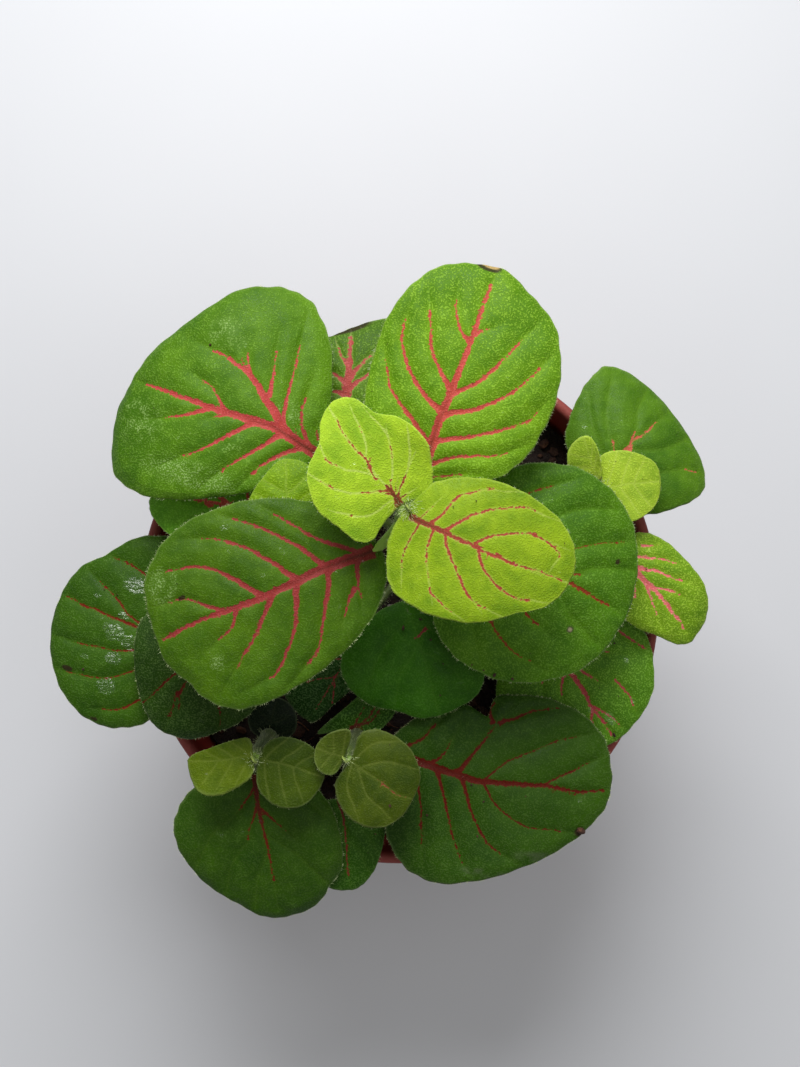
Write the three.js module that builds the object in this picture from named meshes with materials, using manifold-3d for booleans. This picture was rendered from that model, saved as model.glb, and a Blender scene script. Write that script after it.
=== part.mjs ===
// A potted nerve plant: a thin plastic pot, peat, and leafy stems that stand in it.
// Millimetres, +Z up. The origin is the centre of the pot's base.
import * as THREE from "three";
import { mergeVertices } from "three/addons/utils/BufferGeometryUtils.js";
import Module from "manifold-3d";

const wasm = await Module();
wasm.setup();

// ---------------------------------------------------------------- driving sizes
const clearance = 0.3;                      // gap that touching pieces keep
const roundSides = 36;                      // sides of the pot and of the soil

const pot = {
  height: 70,
  rimRadius: 45,
  lipWidth: 2,
  baseRadius: 31,
  wall: 1.1,
  collarHeight: 14,                         // the wider band below the rim
  collarStep: 1.6,                          // how far the band stands out
  collarFlare: 1.2,
  drainHoles: 8,
  drainRadius: 2.2,
  drainRing: 22,
};

const soil = {
  top: 58.5,                                // mean height of the peat
  roughness: 0.8,                           // height of its lumps
  rings: 5,
};

const stem = { rootRadius: 1.6, topRadius: 1.25, sides: 7, rings: 8, rootDepth: 11, holeSides: 8 };
const petiole = { startRadius: 0.95, endRadius: 0.35, sides: 5, rings: 6, ribReach: -0.1 };
const blade = { thickness: 0.7, rows: 8, columns: 6 };
const smallBlade = { thickness: 0.6, rows: 6, columns: 4 };

// Every leaf starts from these and states what differs. The heading turns from +X towards +Y.
const plainLeaf = {
  heading: 0,
  length: 20,
  left: 10,                                 // half widths at the middle
  right: 10,
  leftEgg: 0,                               // above 0: that half is widest towards the tip
  rightEgg: 0,
  blunt: 0,                                 // above 0: a squarer outline
  lobe: 2,                                  // how far the blade reaches back beside its stalk
  pitch: 12,                                // rise at the base, in degrees
  droop: 30,                                // bend from the base to the tip, in degrees
  cup: -0.1,                                // above 0 the edges turn up, below 0 down
  wave: 0.5,
  waves: 3,
  phase: 0,
  bulges: [],                               // places where the outline leaves the plain form
  joint: 0.8,                               // where along the stem the stalk starts
};

// ---------------------------------------------------------------- the plant, stem by stem
// The path of a stem runs from the soil to its end. A young tip is lime and sits on the end.
const leafyStems = [
  {
    name: "main",
    path: [[3, 8], [2.2, 9, 74], [1, 13, 90], [0.7, 15, 99]],
    leaves: [
      { name: "north_big", base: [3.5, 20.5, 96.5], heading: 71, length: 36, left: 14, right: 16,
        blunt: 0.08, lobe: 1.5, pitch: 14, droop: 28, wave: 0.5, joint: 0.86,
        bulges: [[-27, 14, -0.045], [95, 24, -0.035], [10, 10, -0.02]] },
      { name: "west_big", base: [-3.7, 9.5, 95.8], heading: -160, length: 38.3, left: 17, right: 14.5,
        leftEgg: 0.22, rightEgg: 0.17, blunt: 0.07, lobe: 1.5, pitch: 14, droop: 28, phase: 1.5, joint: 0.95,
        bulges: [[95, 28, -0.065], [28, 10, -0.04], [-5, 15, -0.035], [166, 22, 0.07]] },
      { name: "north_west_big", base: [-13, 24, 86], heading: 163, length: 37.5, left: 13, right: 23.5,
        leftEgg: 0.5, rightEgg: -0.42, blunt: 0.04, lobe: 0, pitch: 20, droop: 56, cup: -0.14,
        phase: 0.6, joint: 0.62,
        bulges: [[-10, 28, -0.09], [-82, 16, 0.055], [36, 9, 0.05], [90, 28, -0.06]] },
      { name: "east_big", base: [6.5, 11, 88], heading: -20, length: 33.5, left: 18.5, right: 18,
        leftEgg: 0.12, lobe: 3, pitch: 12, droop: 30, cup: -0.06, wave: 0.6, phase: 2.2, joint: 0.6 },
      { name: "north_under", base: [-4.5, 27, 78.5], heading: 100, length: 21, left: 9.5, right: 10,
        rightEgg: 0.25, blunt: 0.2, pitch: 12, droop: 36, joint: 0.36,
        bulges: [[12, 16, -0.08], [-26, 14, 0.13]] },
      { name: "south_under", base: [1, 1, 80.5], heading: -73, length: 20.5, left: 10.5, right: 13.5,
        leftEgg: 0.35, rightEgg: -0.15, lobe: 0, pitch: 10, droop: 28, phase: 1, joint: 0.38,
        bulges: [[50, 12, -0.07], [-38, 15, -0.09]] },
      { name: "south_low", base: [-5, -2, 69.5], heading: -120, length: 21.5, left: 4, right: 9.5,
        rightEgg: 0.1, pitch: 8, droop: 20, joint: 0.24,
        bulges: [[48, 24, -0.2]] },
    ],
    tip: [
      { name: "lime_west", base: [0.3, 16.8, 103.5], heading: 127, length: 18.5, left: 11, right: 7.8,
        rightEgg: 0.2, blunt: -0.1, lobe: 8, pitch: 24, droop: 34, cup: 0.08, wave: 0.4,
        bulges: [[35, 20, -0.23], [-12, 14, 0.05], [-48, 15, -0.19], [-84, 16, 0.1], [-165, 40, 0.05],
          [142, 14, 0.07], [103, 16, -0.07]] },
      { name: "lime_east", base: [1.6, 15, 103.2], heading: -21, length: 27, left: 9.5, right: 13,
        leftEgg: 0.2, rightEgg: -0.15, blunt: -0.08, lobe: 5.5, pitch: 18, droop: 32, cup: -0.06,
        wave: 0.4, phase: 2,
        bulges: [[58, 20, -0.03], [-52, 14, -0.07], [-130, 14, 0.06], [-165, 24, 0.13]] },
    ],
  },
  {
    name: "north_east",
    path: [[28, 15], [31, 17.5, 70], [33, 19.2, 78]],
    leaves: [
      { name: "corner", base: [33, 20.5, 74.5], heading: 40, length: 20.5, left: 12.5, right: 11.5,
        leftEgg: 0.45, rightEgg: 0.45, blunt: 0.2, lobe: 7, pitch: 22, droop: 64, cup: -0.12, joint: 0.75,
        bulges: [[-8, 22, -0.09], [-62, 15, 0.03], [52, 14, 0.03]] },
      { name: "right", base: [35.5, 9.5, 78], heading: -47, length: 21.5, left: 9, right: 6.5,
        leftEgg: 0.1, lobe: 4, pitch: 10, droop: 36, phase: 1, joint: 0.6,
        bulges: [[85, 35, -0.1], [-5, 10, 0.03], [-50, 22, -0.15]] },
    ],
    tip: [
      { name: "lime_up", base: [33, 21, 82], heading: 113, length: 8.5, left: 4.2, right: 1.4,
        rightEgg: 0.5, blunt: 0.15, lobe: 1.2, pitch: 36, droop: 20, cup: 0.15, wave: 0.15 },
      { name: "lime_right", base: [33.9, 19.5, 81.8], heading: 8, length: 9.6, left: 6, right: 6.2,
        leftEgg: -0.1, rightEgg: -0.1, lobe: 3.5, pitch: 14, droop: 30, cup: 0, wave: 0.2,
        bulges: [[25, 20, 0.07]] },
    ],
  },
  {
    name: "east",
    path: [[18, 4], [19, 1.5, 70.5]],
    leaves: [
      { name: "lower", base: [23, -2.5, 72.2], heading: -57, length: 25.5, left: 15.5, right: 15,
        leftEgg: -0.2, rightEgg: 0.4, blunt: 0.1, pitch: 9, droop: 20, cup: -0.04, joint: 0.8,
        bulges: [[97, 14, -0.06], [42, 15, 0.03]] },
    ],
    tip: [],
  },
  {
    name: "north_west",
    path: [[-13, 9], [-15, 10, 74], [-17, 11, 88.5]],
    leaves: [
      { name: "left", base: [-20, 15, 78.5], heading: 174, length: 22.5, left: 8, right: 7,
        leftEgg: -0.3, lobe: 0.5, pitch: 10, droop: 28, joint: 0.6 },
    ],
    tip: [
      { name: "lime_north", base: [-17.2, 12.6, 91.6], heading: 95, length: 11.6, left: 6.6, right: 5.4,
        leftEgg: -0.4, rightEgg: 0.1, lobe: 1.8, pitch: 8, droop: 24, cup: -0.05, wave: 0.2,
        bulges: [[48, 20, -0.07]] },
    ],
  },
  {
    name: "west",
    path: [[-25, -4], [-28.5, -4, 75.5]],
    leaves: [
      { name: "glossy", base: [-35, -7, 73], heading: 163, length: 25, left: 17.5, right: 16.5,
        rightEgg: -0.2, lobe: 4, pitch: 16, droop: 38, joint: 0.78,
        bulges: [[75, 18, 0.03], [25, 25, 0.03], [-52, 14, -0.08]] },
      { name: "dark", base: [-30.5, -3.5, 79], heading: -116, length: 20.5, left: 12, right: 11,
        leftEgg: -0.1, rightEgg: -0.4, blunt: 0.15, lobe: 2.5, pitch: 10, droop: 32, phase: 1, joint: 0.93,
        bulges: [[48, 26, -0.11]] },
    ],
    tip: [],
  },
  {
    name: "south",
    path: [[-6, -20], [-7, -22, 72], [-8.4, -24, 82]],
    leaves: [
      { name: "large", base: [-2, -25, 75.5], heading: -10, length: 39, left: 13, right: 19,
        leftEgg: 0.4, rightEgg: -0.3, blunt: -0.04, lobe: 5, pitch: 11, droop: 26, cup: -0.06,
        wave: 0.6, phase: 0.4, joint: 0.6,
        bulges: [[99.5, 5.5, -0.25], [-105, 14, 0.03]] },
      { name: "low", base: [-10.5, -33, 73.5], heading: -82, length: 16.5, left: 7.5, right: 7,
        leftEgg: -0.3, rightEgg: 0.2, lobe: 4, pitch: 6, droop: 26, joint: 0.5 },
      { name: "back", base: [-9.2, -22, 73.5], heading: 44, length: 14, left: 3, right: 3.8,
        lobe: 3, pitch: 5, droop: 20, cup: 0.05, wave: 0.4, joint: 0.66,
        bulges: [[132, 22, 0.45], [-40, 30, -0.1]] },
    ],
    tip: [
      { name: "lime_right", base: [-8, -25, 86], heading: -27, length: 12.6, left: 7, right: 7.7,
        leftEgg: 0.15, rightEgg: 0.35, lobe: 5.5, pitch: 12, droop: 30, cup: -0.04, wave: 0.25,
        bulges: [[42, 28, -0.1], [-80, 20, 0.05], [0, 20, -0.05]] },
      { name: "lime_left", base: [-8.9, -24.2, 86.6], heading: 160, length: 5.2, left: 3.6, right: 4.4,
        rightEgg: -0.3, lobe: 0.5, pitch: 30, droop: 20, cup: 0.25, wave: 0.1 },
    ],
  },
  {
    name: "south_west",
    path: [[-21, -21], [-22.5, -23, 74], [-23.3, -24.2, 82]],
    leaves: [
      { name: "bottom", base: [-24.2, -28, 77.5], heading: -79, length: 27, left: 12, right: 15,
        leftEgg: 0.15, rightEgg: -0.25, lobe: 4, pitch: 8, droop: 38, phase: 2, joint: 0.72,
        bulges: [[-42, 20, -0.08], [-150, 12, 0.05], [42, 10, -0.05]] },
      { name: "small_dark", base: [-22.2, -23.2, 71.5], heading: 80, length: 7.4, left: 4.2, right: 4.2,
        lobe: 1, pitch: 16, droop: 30, wave: 0.1, joint: 0.5 },
    ],
    tip: [
      { name: "lime_left", base: [-23.8, -24, 86], heading: -174, length: 10.8, left: 5.1, right: 2.8,
        leftEgg: 0.4, rightEgg: -0.3, blunt: 0.2, lobe: 3, pitch: 18, droop: 30, cup: 0.05, wave: 0.25,
        bulges: [[75, 25, 0.05], [-60, 30, -0.15]] },
      { name: "lime_right", base: [-22.8, -24.6, 86], heading: -16, length: 11.2, left: 4.8, right: 6.6,
        rightEgg: 0.1, lobe: 1.5, pitch: 12, droop: 28, cup: 0, wave: 0.25 },
    ],
  },
];

const colours = {
  pot: "#8c4a3c",
  soil: "#2c1d15",
  green: "#4f8a24",
  lime: "#9cbb30",
};

// ---------------------------------------------------------------- solids
function solidOf(geometry) {
  const bare = new THREE.BufferGeometry();
  bare.setAttribute("position", geometry.getAttribute("position"));
  bare.setIndex(geometry.getIndex());
  const merged = mergeVertices(bare, 1e-4);
  const mesh = new wasm.Mesh({
    numProp: 3,
    vertProperties: Float32Array.from(merged.getAttribute("position").array),
    triVerts: Uint32Array.from(merged.getIndex().array),
  });
  return new wasm.Manifold(mesh);
}

function geometryOf(solid) {
  const mesh = solid.getMesh();
  const geometry = new THREE.BufferGeometry();
  geometry.setAttribute("position", new THREE.BufferAttribute(mesh.vertProperties, 3));
  geometry.setIndex(new THREE.BufferAttribute(mesh.triVerts, 1));
  geometry.computeVertexNormals();
  return geometry;
}

function closedGeometry(points, triangles) {
  const geometry = new THREE.BufferGeometry();
  geometry.setFromPoints(points);
  geometry.setIndex(triangles.flat());
  return geometry;
}

// A profile of [radius, height] corners, turned about Z.
function turned(profile) {
  const corners = profile.map(([radius, height]) => new THREE.Vector2(radius, height));
  const geometry = new THREE.LatheGeometry(corners, roundSides);
  geometry.rotateX(Math.PI / 2);
  return geometry;
}

function upright(radius, bottom, top, sides, x, y) {
  const geometry = new THREE.CylinderGeometry(radius, radius, top - bottom, sides);
  geometry.rotateX(Math.PI / 2);
  geometry.translate(x, y, (top + bottom) / 2);
  return solidOf(geometry);
}

// A round stalk that narrows along a curve, with flat ends.
function limb(curve, startRadius, endRadius, rings, sides) {
  const frames = curve.computeFrenetFrames(rings, false);
  const points = [];
  const triangles = [];
  for (let ring = 0; ring <= rings; ring += 1) {
    const centre = curve.getPointAt(ring / rings);
    const radius = THREE.MathUtils.lerp(startRadius, endRadius, ring / rings);
    for (let side = 0; side < sides; side += 1) {
      const turn = (2 * Math.PI * side) / sides;
      const point = centre.clone();
      point.addScaledVector(frames.normals[ring], radius * Math.cos(turn));
      point.addScaledVector(frames.binormals[ring], radius * Math.sin(turn));
      points.push(point);
    }
  }
  for (let ring = 0; ring < rings; ring += 1) {
    for (let side = 0; side < sides; side += 1) {
      const next = (side + 1) % sides;
      const here = ring * sides;
      const above = here + sides;
      triangles.push([here + side, here + next, above + next]);
      triangles.push([here + side, above + next, above + side]);
    }
  }
  for (let side = 1; side < sides - 1; side += 1) {
    const last = rings * sides;
    triangles.push([0, side + 1, side]);
    triangles.push([last, last + side, last + side + 1]);
  }
  return solidOf(closedGeometry(points, triangles));
}

// ---------------------------------------------------------------- leaves
// A bulge is [degrees around the disc from the tip towards the left, its spread, its share of the radius].
function bulged(leaf, along, across) {
  const angle = THREE.MathUtils.radToDeg(Math.atan2(across, along));
  let growth = 1;
  for (const [place, spread, share] of leaf.bulges) {
    const away = THREE.MathUtils.euclideanModulo(angle - place + 180, 360) - 180;
    growth += share * (along ** 2 + across ** 2) * Math.exp(-((away / spread) ** 2));
  }
  return { along: along * growth, across: across * growth };
}

// A blade is a bent disc: along runs -1 (stalk) to 1 (tip), across -1 (right) to 1 (left).
function bladePoint(leaf, discAlong, discAcross) {
  const { along, across } = bulged(leaf, discAlong, discAcross);
  const isLeft = across >= 0;
  const half = isLeft ? leaf.left : leaf.right;
  const egg = isLeft ? leaf.leftEgg : leaf.rightEgg;
  const reach = (leaf.length * (along + 1)) / 2 - (leaf.lobe * across ** 2 * (1 - along)) / 2;
  const side = across * half * (1 + egg * along) * (1 + leaf.blunt * along ** 2);
  const ripple = (Math.PI * leaf.waves * (along + 1)) / 2 + leaf.phase + (isLeft ? 0 : 2);
  const lift = (leaf.cup * side ** 2) / half + leaf.wave * across ** 2 * Math.sin(ripple);
  const pitch = THREE.MathUtils.degToRad(leaf.pitch);
  const bend = THREE.MathUtils.degToRad(leaf.droop) / leaf.length;
  const slope = pitch - bend * reach;
  const forward = (Math.sin(pitch) - Math.sin(slope)) / bend - lift * Math.sin(slope);
  const up = (Math.cos(slope) - Math.cos(pitch)) / bend + lift * Math.cos(slope);
  const heading = THREE.MathUtils.degToRad(leaf.heading);
  return new THREE.Vector3(
    leaf.base[0] + forward * Math.cos(heading) - side * Math.sin(heading),
    leaf.base[1] + forward * Math.sin(heading) + side * Math.cos(heading),
    leaf.base[2] + up,
  );
}

function bladeNormal(leaf, along, across) {
  const step = 0.02;
  const ahead = bladePoint(leaf, along + step, across).sub(bladePoint(leaf, along - step, across));
  const aside = bladePoint(leaf, along, across + step).sub(bladePoint(leaf, along, across - step));
  return ahead.cross(aside).normalize();
}

function bladeSolid(leaf, size) {
  const { rows, columns, thickness } = size;
  const points = [];
  const rowStarts = [];
  for (let row = 0; row <= rows; row += 1) {
    const along = -Math.cos((Math.PI * row) / rows);
    const isEnd = row === 0 || row === rows;
    const width = Math.sqrt(Math.max(0, 1 - along ** 2));
    rowStarts.push(points.length);
    for (let column = 0; column <= (isEnd ? 0 : columns); column += 1) {
      const across = isEnd ? 0 : width * ((2 * column) / columns - 1);
      const middle = bladePoint(leaf, along, across);
      const normal = bladeNormal(leaf, along, across);
      points.push(middle.clone().addScaledVector(normal, thickness / 2));
      points.push(middle.clone().addScaledVector(normal, -thickness / 2));
    }
  }
  // The upper point of a place has an even number, and the lower one follows it.
  const place = (row, column) => rowStarts[row] + 2 * (row === 0 || row === rows ? 0 : column);
  const triangles = [];
  const addBothFaces = (a, b, c) => {
    if (a === b || b === c || a === c) return;
    triangles.push([a, b, c]);
    triangles.push([a + 1, c + 1, b + 1]);
  };
  const addWall = (a, b) => {
    triangles.push([a, a + 1, b + 1]);
    triangles.push([a, b + 1, b]);
  };
  for (let row = 0; row < rows; row += 1) {
    for (let column = 0; column < columns; column += 1) {
      const near = place(row, column);
      const nearLeft = place(row, column + 1);
      const far = place(row + 1, column);
      const farLeft = place(row + 1, column + 1);
      addBothFaces(near, far, farLeft);
      addBothFaces(near, farLeft, nearLeft);
    }
    addWall(place(row, 0), place(row + 1, 0));
    addWall(place(row + 1, columns), place(row, columns));
  }
  return solidOf(closedGeometry(points, triangles));
}

// The stalk leaves the stem, meets the blade from below and runs on as its raised midrib.
function petioleSolid(leaf, start) {
  const { startRadius, endRadius, sides, ribReach } = petiole;
  const meet = bladePoint(leaf, -1, 0);
  const outward = new THREE.Vector3(meet.x - start.x, meet.y - start.y, 0);
  const bow = start.clone().lerp(meet, 0.5);
  bow.z = THREE.MathUtils.lerp(start.z, meet.z, 0.62);
  bow.addScaledVector(outward, 0.08);
  const sunk = (along, radius) =>
    bladePoint(leaf, along, 0).addScaledVector(bladeNormal(leaf, along, 0), 0.1 - radius);
  const scale = Math.min(1, leaf.length / 16);
  const ribStart = -0.93;
  const ribMiddle = (ribStart + ribReach) / 2;
  const middleRadius = THREE.MathUtils.lerp(startRadius, endRadius, 0.75);
  const curve = new THREE.CatmullRomCurve3([
    start,
    bow,
    sunk(ribStart, startRadius * 0.7 * scale),
    sunk(ribMiddle, middleRadius * scale),
    sunk(ribReach, endRadius * scale),
  ]);
  return limb(curve, startRadius * scale, endRadius * scale, petiole.rings, sides);
}

function leafSolid(leaf, start) {
  const size = leaf.length < 14 ? smallBlade : blade;
  return bladeSolid(leaf, size).add(petioleSolid(leaf, start));
}

// ---------------------------------------------------------------- stems
function stemCurve(path) {
  const [[x, y], ...upper] = path;
  const corners = [
    new THREE.Vector3(x, y, soil.top - stem.rootDepth),
    new THREE.Vector3(x, y, soil.top - stem.rootDepth / 2),
    new THREE.Vector3(x, y, soil.top + 1),
    ...upper.map((corner) => new THREE.Vector3(...corner)),
  ];
  return new THREE.CatmullRomCurve3(corners);
}

function greenSolid(plan) {
  const curve = stemCurve(plan.path);
  let solid = limb(curve, stem.rootRadius, stem.topRadius, stem.rings, stem.sides);
  for (const given of plan.leaves) {
    const leaf = { ...plainLeaf, ...given };
    solid = solid.add(leafSolid(leaf, curve.getPointAt(leaf.joint)));
  }
  return solid;
}

// The lime tip stands one clearance above the green stem: a short stalk, its leaves and a bud.
function tipSolid(plan) {
  const curve = stemCurve(plan.path);
  const direction = curve.getTangentAt(1);
  const start = curve.getPointAt(1).addScaledVector(direction, clearance);
  const crown = start.clone().addScaledVector(direction, 3.2);
  const stalk = new THREE.LineCurve3(start, crown);
  let solid = limb(stalk, stem.topRadius, stem.topRadius * 0.7, 2, stem.sides);
  for (const given of plan.tip) {
    const leaf = { ...plainLeaf, ...given };
    solid = solid.add(leafSolid(leaf, start.clone().lerp(crown, 0.5)));
  }
  for (const turn of [35, 215]) {
    const bud = { ...plainLeaf, base: crown.toArray(), heading: turn, length: 3.4, left: 1.1, right: 1.1,
      lobe: 0, pitch: 74, droop: 24, cup: 0.3, wave: 0 };
    bud.base[2] -= 0.8;
    solid = solid.add(bladeSolid(bud, { thickness: 0.6, rows: 4, columns: 2 }));
  }
  return solid;
}

// ---------------------------------------------------------------- pot and soil
const collarBottom = pot.height - pot.collarHeight;
const bodyTopRadius = pot.rimRadius - pot.collarFlare - pot.collarStep - 0.6;

// Radius of the pot's inner face at a height, which the soil follows.
const innerFace = [
  [pot.baseRadius - pot.wall, pot.wall + 0.4],
  [bodyTopRadius - pot.wall, collarBottom - 1],
  [bodyTopRadius - pot.wall + pot.collarStep, collarBottom + 0.6],
  [pot.rimRadius - pot.lipWidth, pot.height - 1],
];

function potSolid() {
  const outer = [
    [0, 0],
    [pot.baseRadius - 1, 0],
    [pot.baseRadius, 1],
    [bodyTopRadius, collarBottom - 1],
    [bodyTopRadius + pot.collarStep, collarBottom],
    [pot.rimRadius - 0.6, pot.height - 2.4],
    [pot.rimRadius, pot.height - 1.6],
    [pot.rimRadius, pot.height - 0.6],
    [pot.rimRadius - 0.6, pot.height],
    [pot.rimRadius - pot.lipWidth + 0.5, pot.height],
  ];
  const inner = [...innerFace].reverse();
  const floor = [0, pot.wall + 0.4];
  let solid = solidOf(turned([...outer, ...inner, floor]));
  for (let hole = 0; hole < pot.drainHoles; hole += 1) {
    const turn = (2 * Math.PI * (hole + 0.5)) / pot.drainHoles;
    const x = pot.drainRing * Math.cos(turn);
    const y = pot.drainRing * Math.sin(turn);
    solid = solid.subtract(upright(pot.drainRadius, -1, 3, 12, x, y));
  }
  return solid;
}

function soilHeight(x, y) {
  const broad = Math.sin(x * 0.21 + 1.3) * Math.cos(y * 0.17 - 0.4);
  const lumps = 0.6 * Math.sin(x * 0.55 + y * 0.31) + 0.5 * Math.cos(y * 0.63 - x * 0.4 + 2);
  return soil.top + soil.roughness * (broad + 0.6 * lumps);
}

function innerRadius(height) {
  for (let index = 1; index < innerFace.length; index += 1) {
    const [lowRadius, low] = innerFace[index - 1];
    const [highRadius, high] = innerFace[index];
    if (height <= high) {
      return THREE.MathUtils.mapLinear(height, low, high, lowRadius, highRadius);
    }
  }
  return pot.rimRadius - pot.lipWidth;
}

function soilSolid() {
  const bottom = innerFace[0][1] + clearance;
  const points = [new THREE.Vector3(0, 0, soilHeight(0, 0))];
  const ring = (radius, heightAt) => {
    for (let side = 0; side < roundSides; side += 1) {
      const turn = (2 * Math.PI * side) / roundSides + Math.PI / 2;
      const x = radius * Math.cos(turn);
      const y = radius * Math.sin(turn);
      points.push(new THREE.Vector3(x, y, heightAt(x, y)));
    }
  };
  const edge = innerRadius(soil.top - 1.5) - clearance - 0.05;
  for (let index = 1; index <= soil.rings; index += 1) {
    ring((edge * index) / soil.rings, soilHeight);
  }
  for (const [radius, height] of [innerFace[2], innerFace[1], [innerFace[0][0], bottom]]) {
    ring(radius - clearance * 1.5, () => height);
  }
  points.push(new THREE.Vector3(0, 0, bottom));
  const rings = soil.rings + 3;
  const triangles = [];
  for (let side = 0; side < roundSides; side += 1) {
    const next = (side + 1) % roundSides;
    triangles.push([0, 1 + side, 1 + next]);
    for (let index = 0; index < rings - 1; index += 1) {
      const inside = 1 + index * roundSides;
      const outside = inside + roundSides;
      triangles.push([inside + side, outside + side, outside + next]);
      triangles.push([inside + side, outside + next, inside + next]);
    }
    const last = 1 + (rings - 1) * roundSides;
    triangles.push([points.length - 1, last + next, last + side]);
  }
  let solid = solidOf(closedGeometry(points, triangles));
  const holeRadius = stem.rootRadius + clearance + 0.15;
  const holeBottom = soil.top - stem.rootDepth - clearance;
  for (const plan of leafyStems) {
    const [x, y] = plan.path[0];
    solid = solid.subtract(upright(holeRadius, holeBottom, soil.top + 5, stem.holeSides, x, y));
  }
  return solid;
}

// ---------------------------------------------------------------- the scene graph
const plant = new THREE.Group();
plant.name = "potted_nerve_plant";

function addPiece(name, solid, colour, roughness) {
  const material = new THREE.MeshStandardMaterial({ color: colour, roughness, metalness: 0 });
  const mesh = new THREE.Mesh(geometryOf(solid), material);
  mesh.name = name;
  plant.add(mesh);
}

addPiece("pot", potSolid(), colours.pot, 0.5);
addPiece("soil", soilSolid(), colours.soil, 1);
for (const plan of leafyStems) {
  addPiece(`leafy_stem_${plan.name}`, greenSolid(plan), colours.green, 0.45);
  if (plan.tip.length > 0) {
    addPiece(`young_tip_${plan.name}`, tipSolid(plan), colours.lime, 0.5);
  }
}

export default plant;
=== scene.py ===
import math

import bmesh
import bpy
import numpy as np
from mathutils import Matrix, Vector, noise


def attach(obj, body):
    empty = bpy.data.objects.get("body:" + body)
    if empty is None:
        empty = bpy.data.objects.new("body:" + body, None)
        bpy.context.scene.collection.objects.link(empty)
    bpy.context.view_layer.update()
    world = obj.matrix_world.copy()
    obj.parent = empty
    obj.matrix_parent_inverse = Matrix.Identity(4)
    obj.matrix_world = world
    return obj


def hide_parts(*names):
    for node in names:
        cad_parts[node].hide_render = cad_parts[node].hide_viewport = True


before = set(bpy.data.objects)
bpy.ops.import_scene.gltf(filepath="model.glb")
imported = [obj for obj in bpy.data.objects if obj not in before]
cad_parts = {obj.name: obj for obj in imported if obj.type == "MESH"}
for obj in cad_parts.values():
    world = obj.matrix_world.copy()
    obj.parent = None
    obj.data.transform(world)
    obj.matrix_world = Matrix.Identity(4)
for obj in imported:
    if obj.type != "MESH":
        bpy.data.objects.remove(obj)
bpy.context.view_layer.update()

mm = 0.001          # every size below is in millimetres, like the part's source
fullTurn = 2 * math.pi
rng = np.random.default_rng(7)

# The camera looks straight down, as the photograph does.
cameraSetup = {
    "height": 370,
    "aside": (0.2, 12.1),
    "lens": 58.7,
    "sensor": 36,
    "nearest": 10,
}


def addCamera(setup):
    data = bpy.data.cameras.new("camera")
    data.lens = setup["lens"]
    data.sensor_width = setup["sensor"]
    data.clip_start = setup["nearest"] * mm
    camera = bpy.data.objects.new("camera", data)
    camera.location = Vector((*setup["aside"], setup["height"])) * mm
    bpy.context.scene.collection.objects.link(camera)
    bpy.context.scene.camera = camera


class Value:
    # one socket, so that shader maths can be written as sums and products
    def __init__(self, finish, socket):
        self.finish = finish
        self.socket = socket

    def math(self, operation, first, second=0.0, third=0.0):
        inputs = {0: first, 1: second, 2: third}
        return self.finish.node("ShaderNodeMath", {"operation": operation}, inputs)

    def __add__(self, other):
        return self.math("ADD", self, other)

    def __radd__(self, other):
        return self.math("ADD", other, self)

    def __sub__(self, other):
        return self.math("SUBTRACT", self, other)

    def __rsub__(self, other):
        return self.math("SUBTRACT", other, self)

    def __mul__(self, other):
        return self.math("MULTIPLY", self, other)

    def __rmul__(self, other):
        return self.math("MULTIPLY", other, self)

    def __truediv__(self, other):
        return self.math("DIVIDE", self, other)

    def __abs__(self):
        return self.math("ABSOLUTE", self)

    def clamp(self):
        return self.finish.node("ShaderNodeClamp", {}, {"Value": self})


class Finish:
    # a material and its nodes
    def __init__(self, name):
        self.material = bpy.data.materials.new(name)
        self.material.use_nodes = True
        self.tree = self.material.node_tree
        self.shader = self.tree.nodes["Principled BSDF"]
        place = self.node("ShaderNodeTexCoord", {}, {}, "Object")
        scaled = {0: place, "Scale": 1 / mm}
        self.place = self.node("ShaderNodeVectorMath", {"operation": "SCALE"}, scaled, "Vector")

    def node(self, kind, settings, inputs, output=0):
        made = self.tree.nodes.new(kind)
        for key, setting in settings.items():
            setattr(made, key, setting)
        for key, given in inputs.items():
            if isinstance(given, Value):
                self.tree.links.new(given.socket, made.inputs[key])
            else:
                made.inputs[key].default_value = given
        return Value(self, made.outputs[output])

    def noise(self, size, detail=2.0, distortion=0.0, place=None):
        inputs = {"Vector": place or self.place, "Scale": 1 / size, "Detail": detail,
                  "Distortion": distortion}
        return self.node("ShaderNodeTexNoise", {}, inputs, "Fac")

    def stretched(self, scale):
        # the place, stretched, for a pattern that runs one way
        return self.node("ShaderNodeMapping", {}, {"Vector": self.place, "Scale": scale}, "Vector")

    def height(self):
        return self.node("ShaderNodeSeparateXYZ", {}, {0: self.place}, "Z")

    def attribute(self, name, output="Fac"):
        return self.node("ShaderNodeAttribute", {"attribute_name": name}, {}, output)

    def blend(self, factor, first, second, mode="MIX"):
        settings = {"data_type": "RGBA", "blend_type": mode}
        return self.node("ShaderNodeMix", settings, {0: factor, 6: first, 7: second}, 2)

    def times(self, colour, factors):
        return self.blend(1.0, colour, factors, "MULTIPLY")

    def bump(self, height, distance):
        inputs = {"Height": height, "Distance": distance * mm, "Strength": 1.0}
        return self.node("ShaderNodeBump", {}, inputs, "Normal")

    def surface(self, links, constants):
        for key, given in links.items():
            self.tree.links.new(given.socket, self.shader.inputs[key])
        for key, given in constants.items():
            self.shader.inputs[key].default_value = given
        return self.material

    def cover(self, share, inputs):
        # a second surface over the first, where share is 1
        below = Value(self, self.shader.outputs[0])
        above = self.node("ShaderNodeBsdfPrincipled", {}, inputs)
        both = self.node("ShaderNodeMixShader", {}, {0: share, 1: below, 2: above})
        self.tree.links.new(both.socket, self.tree.nodes["Material Output"].inputs["Surface"])


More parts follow.
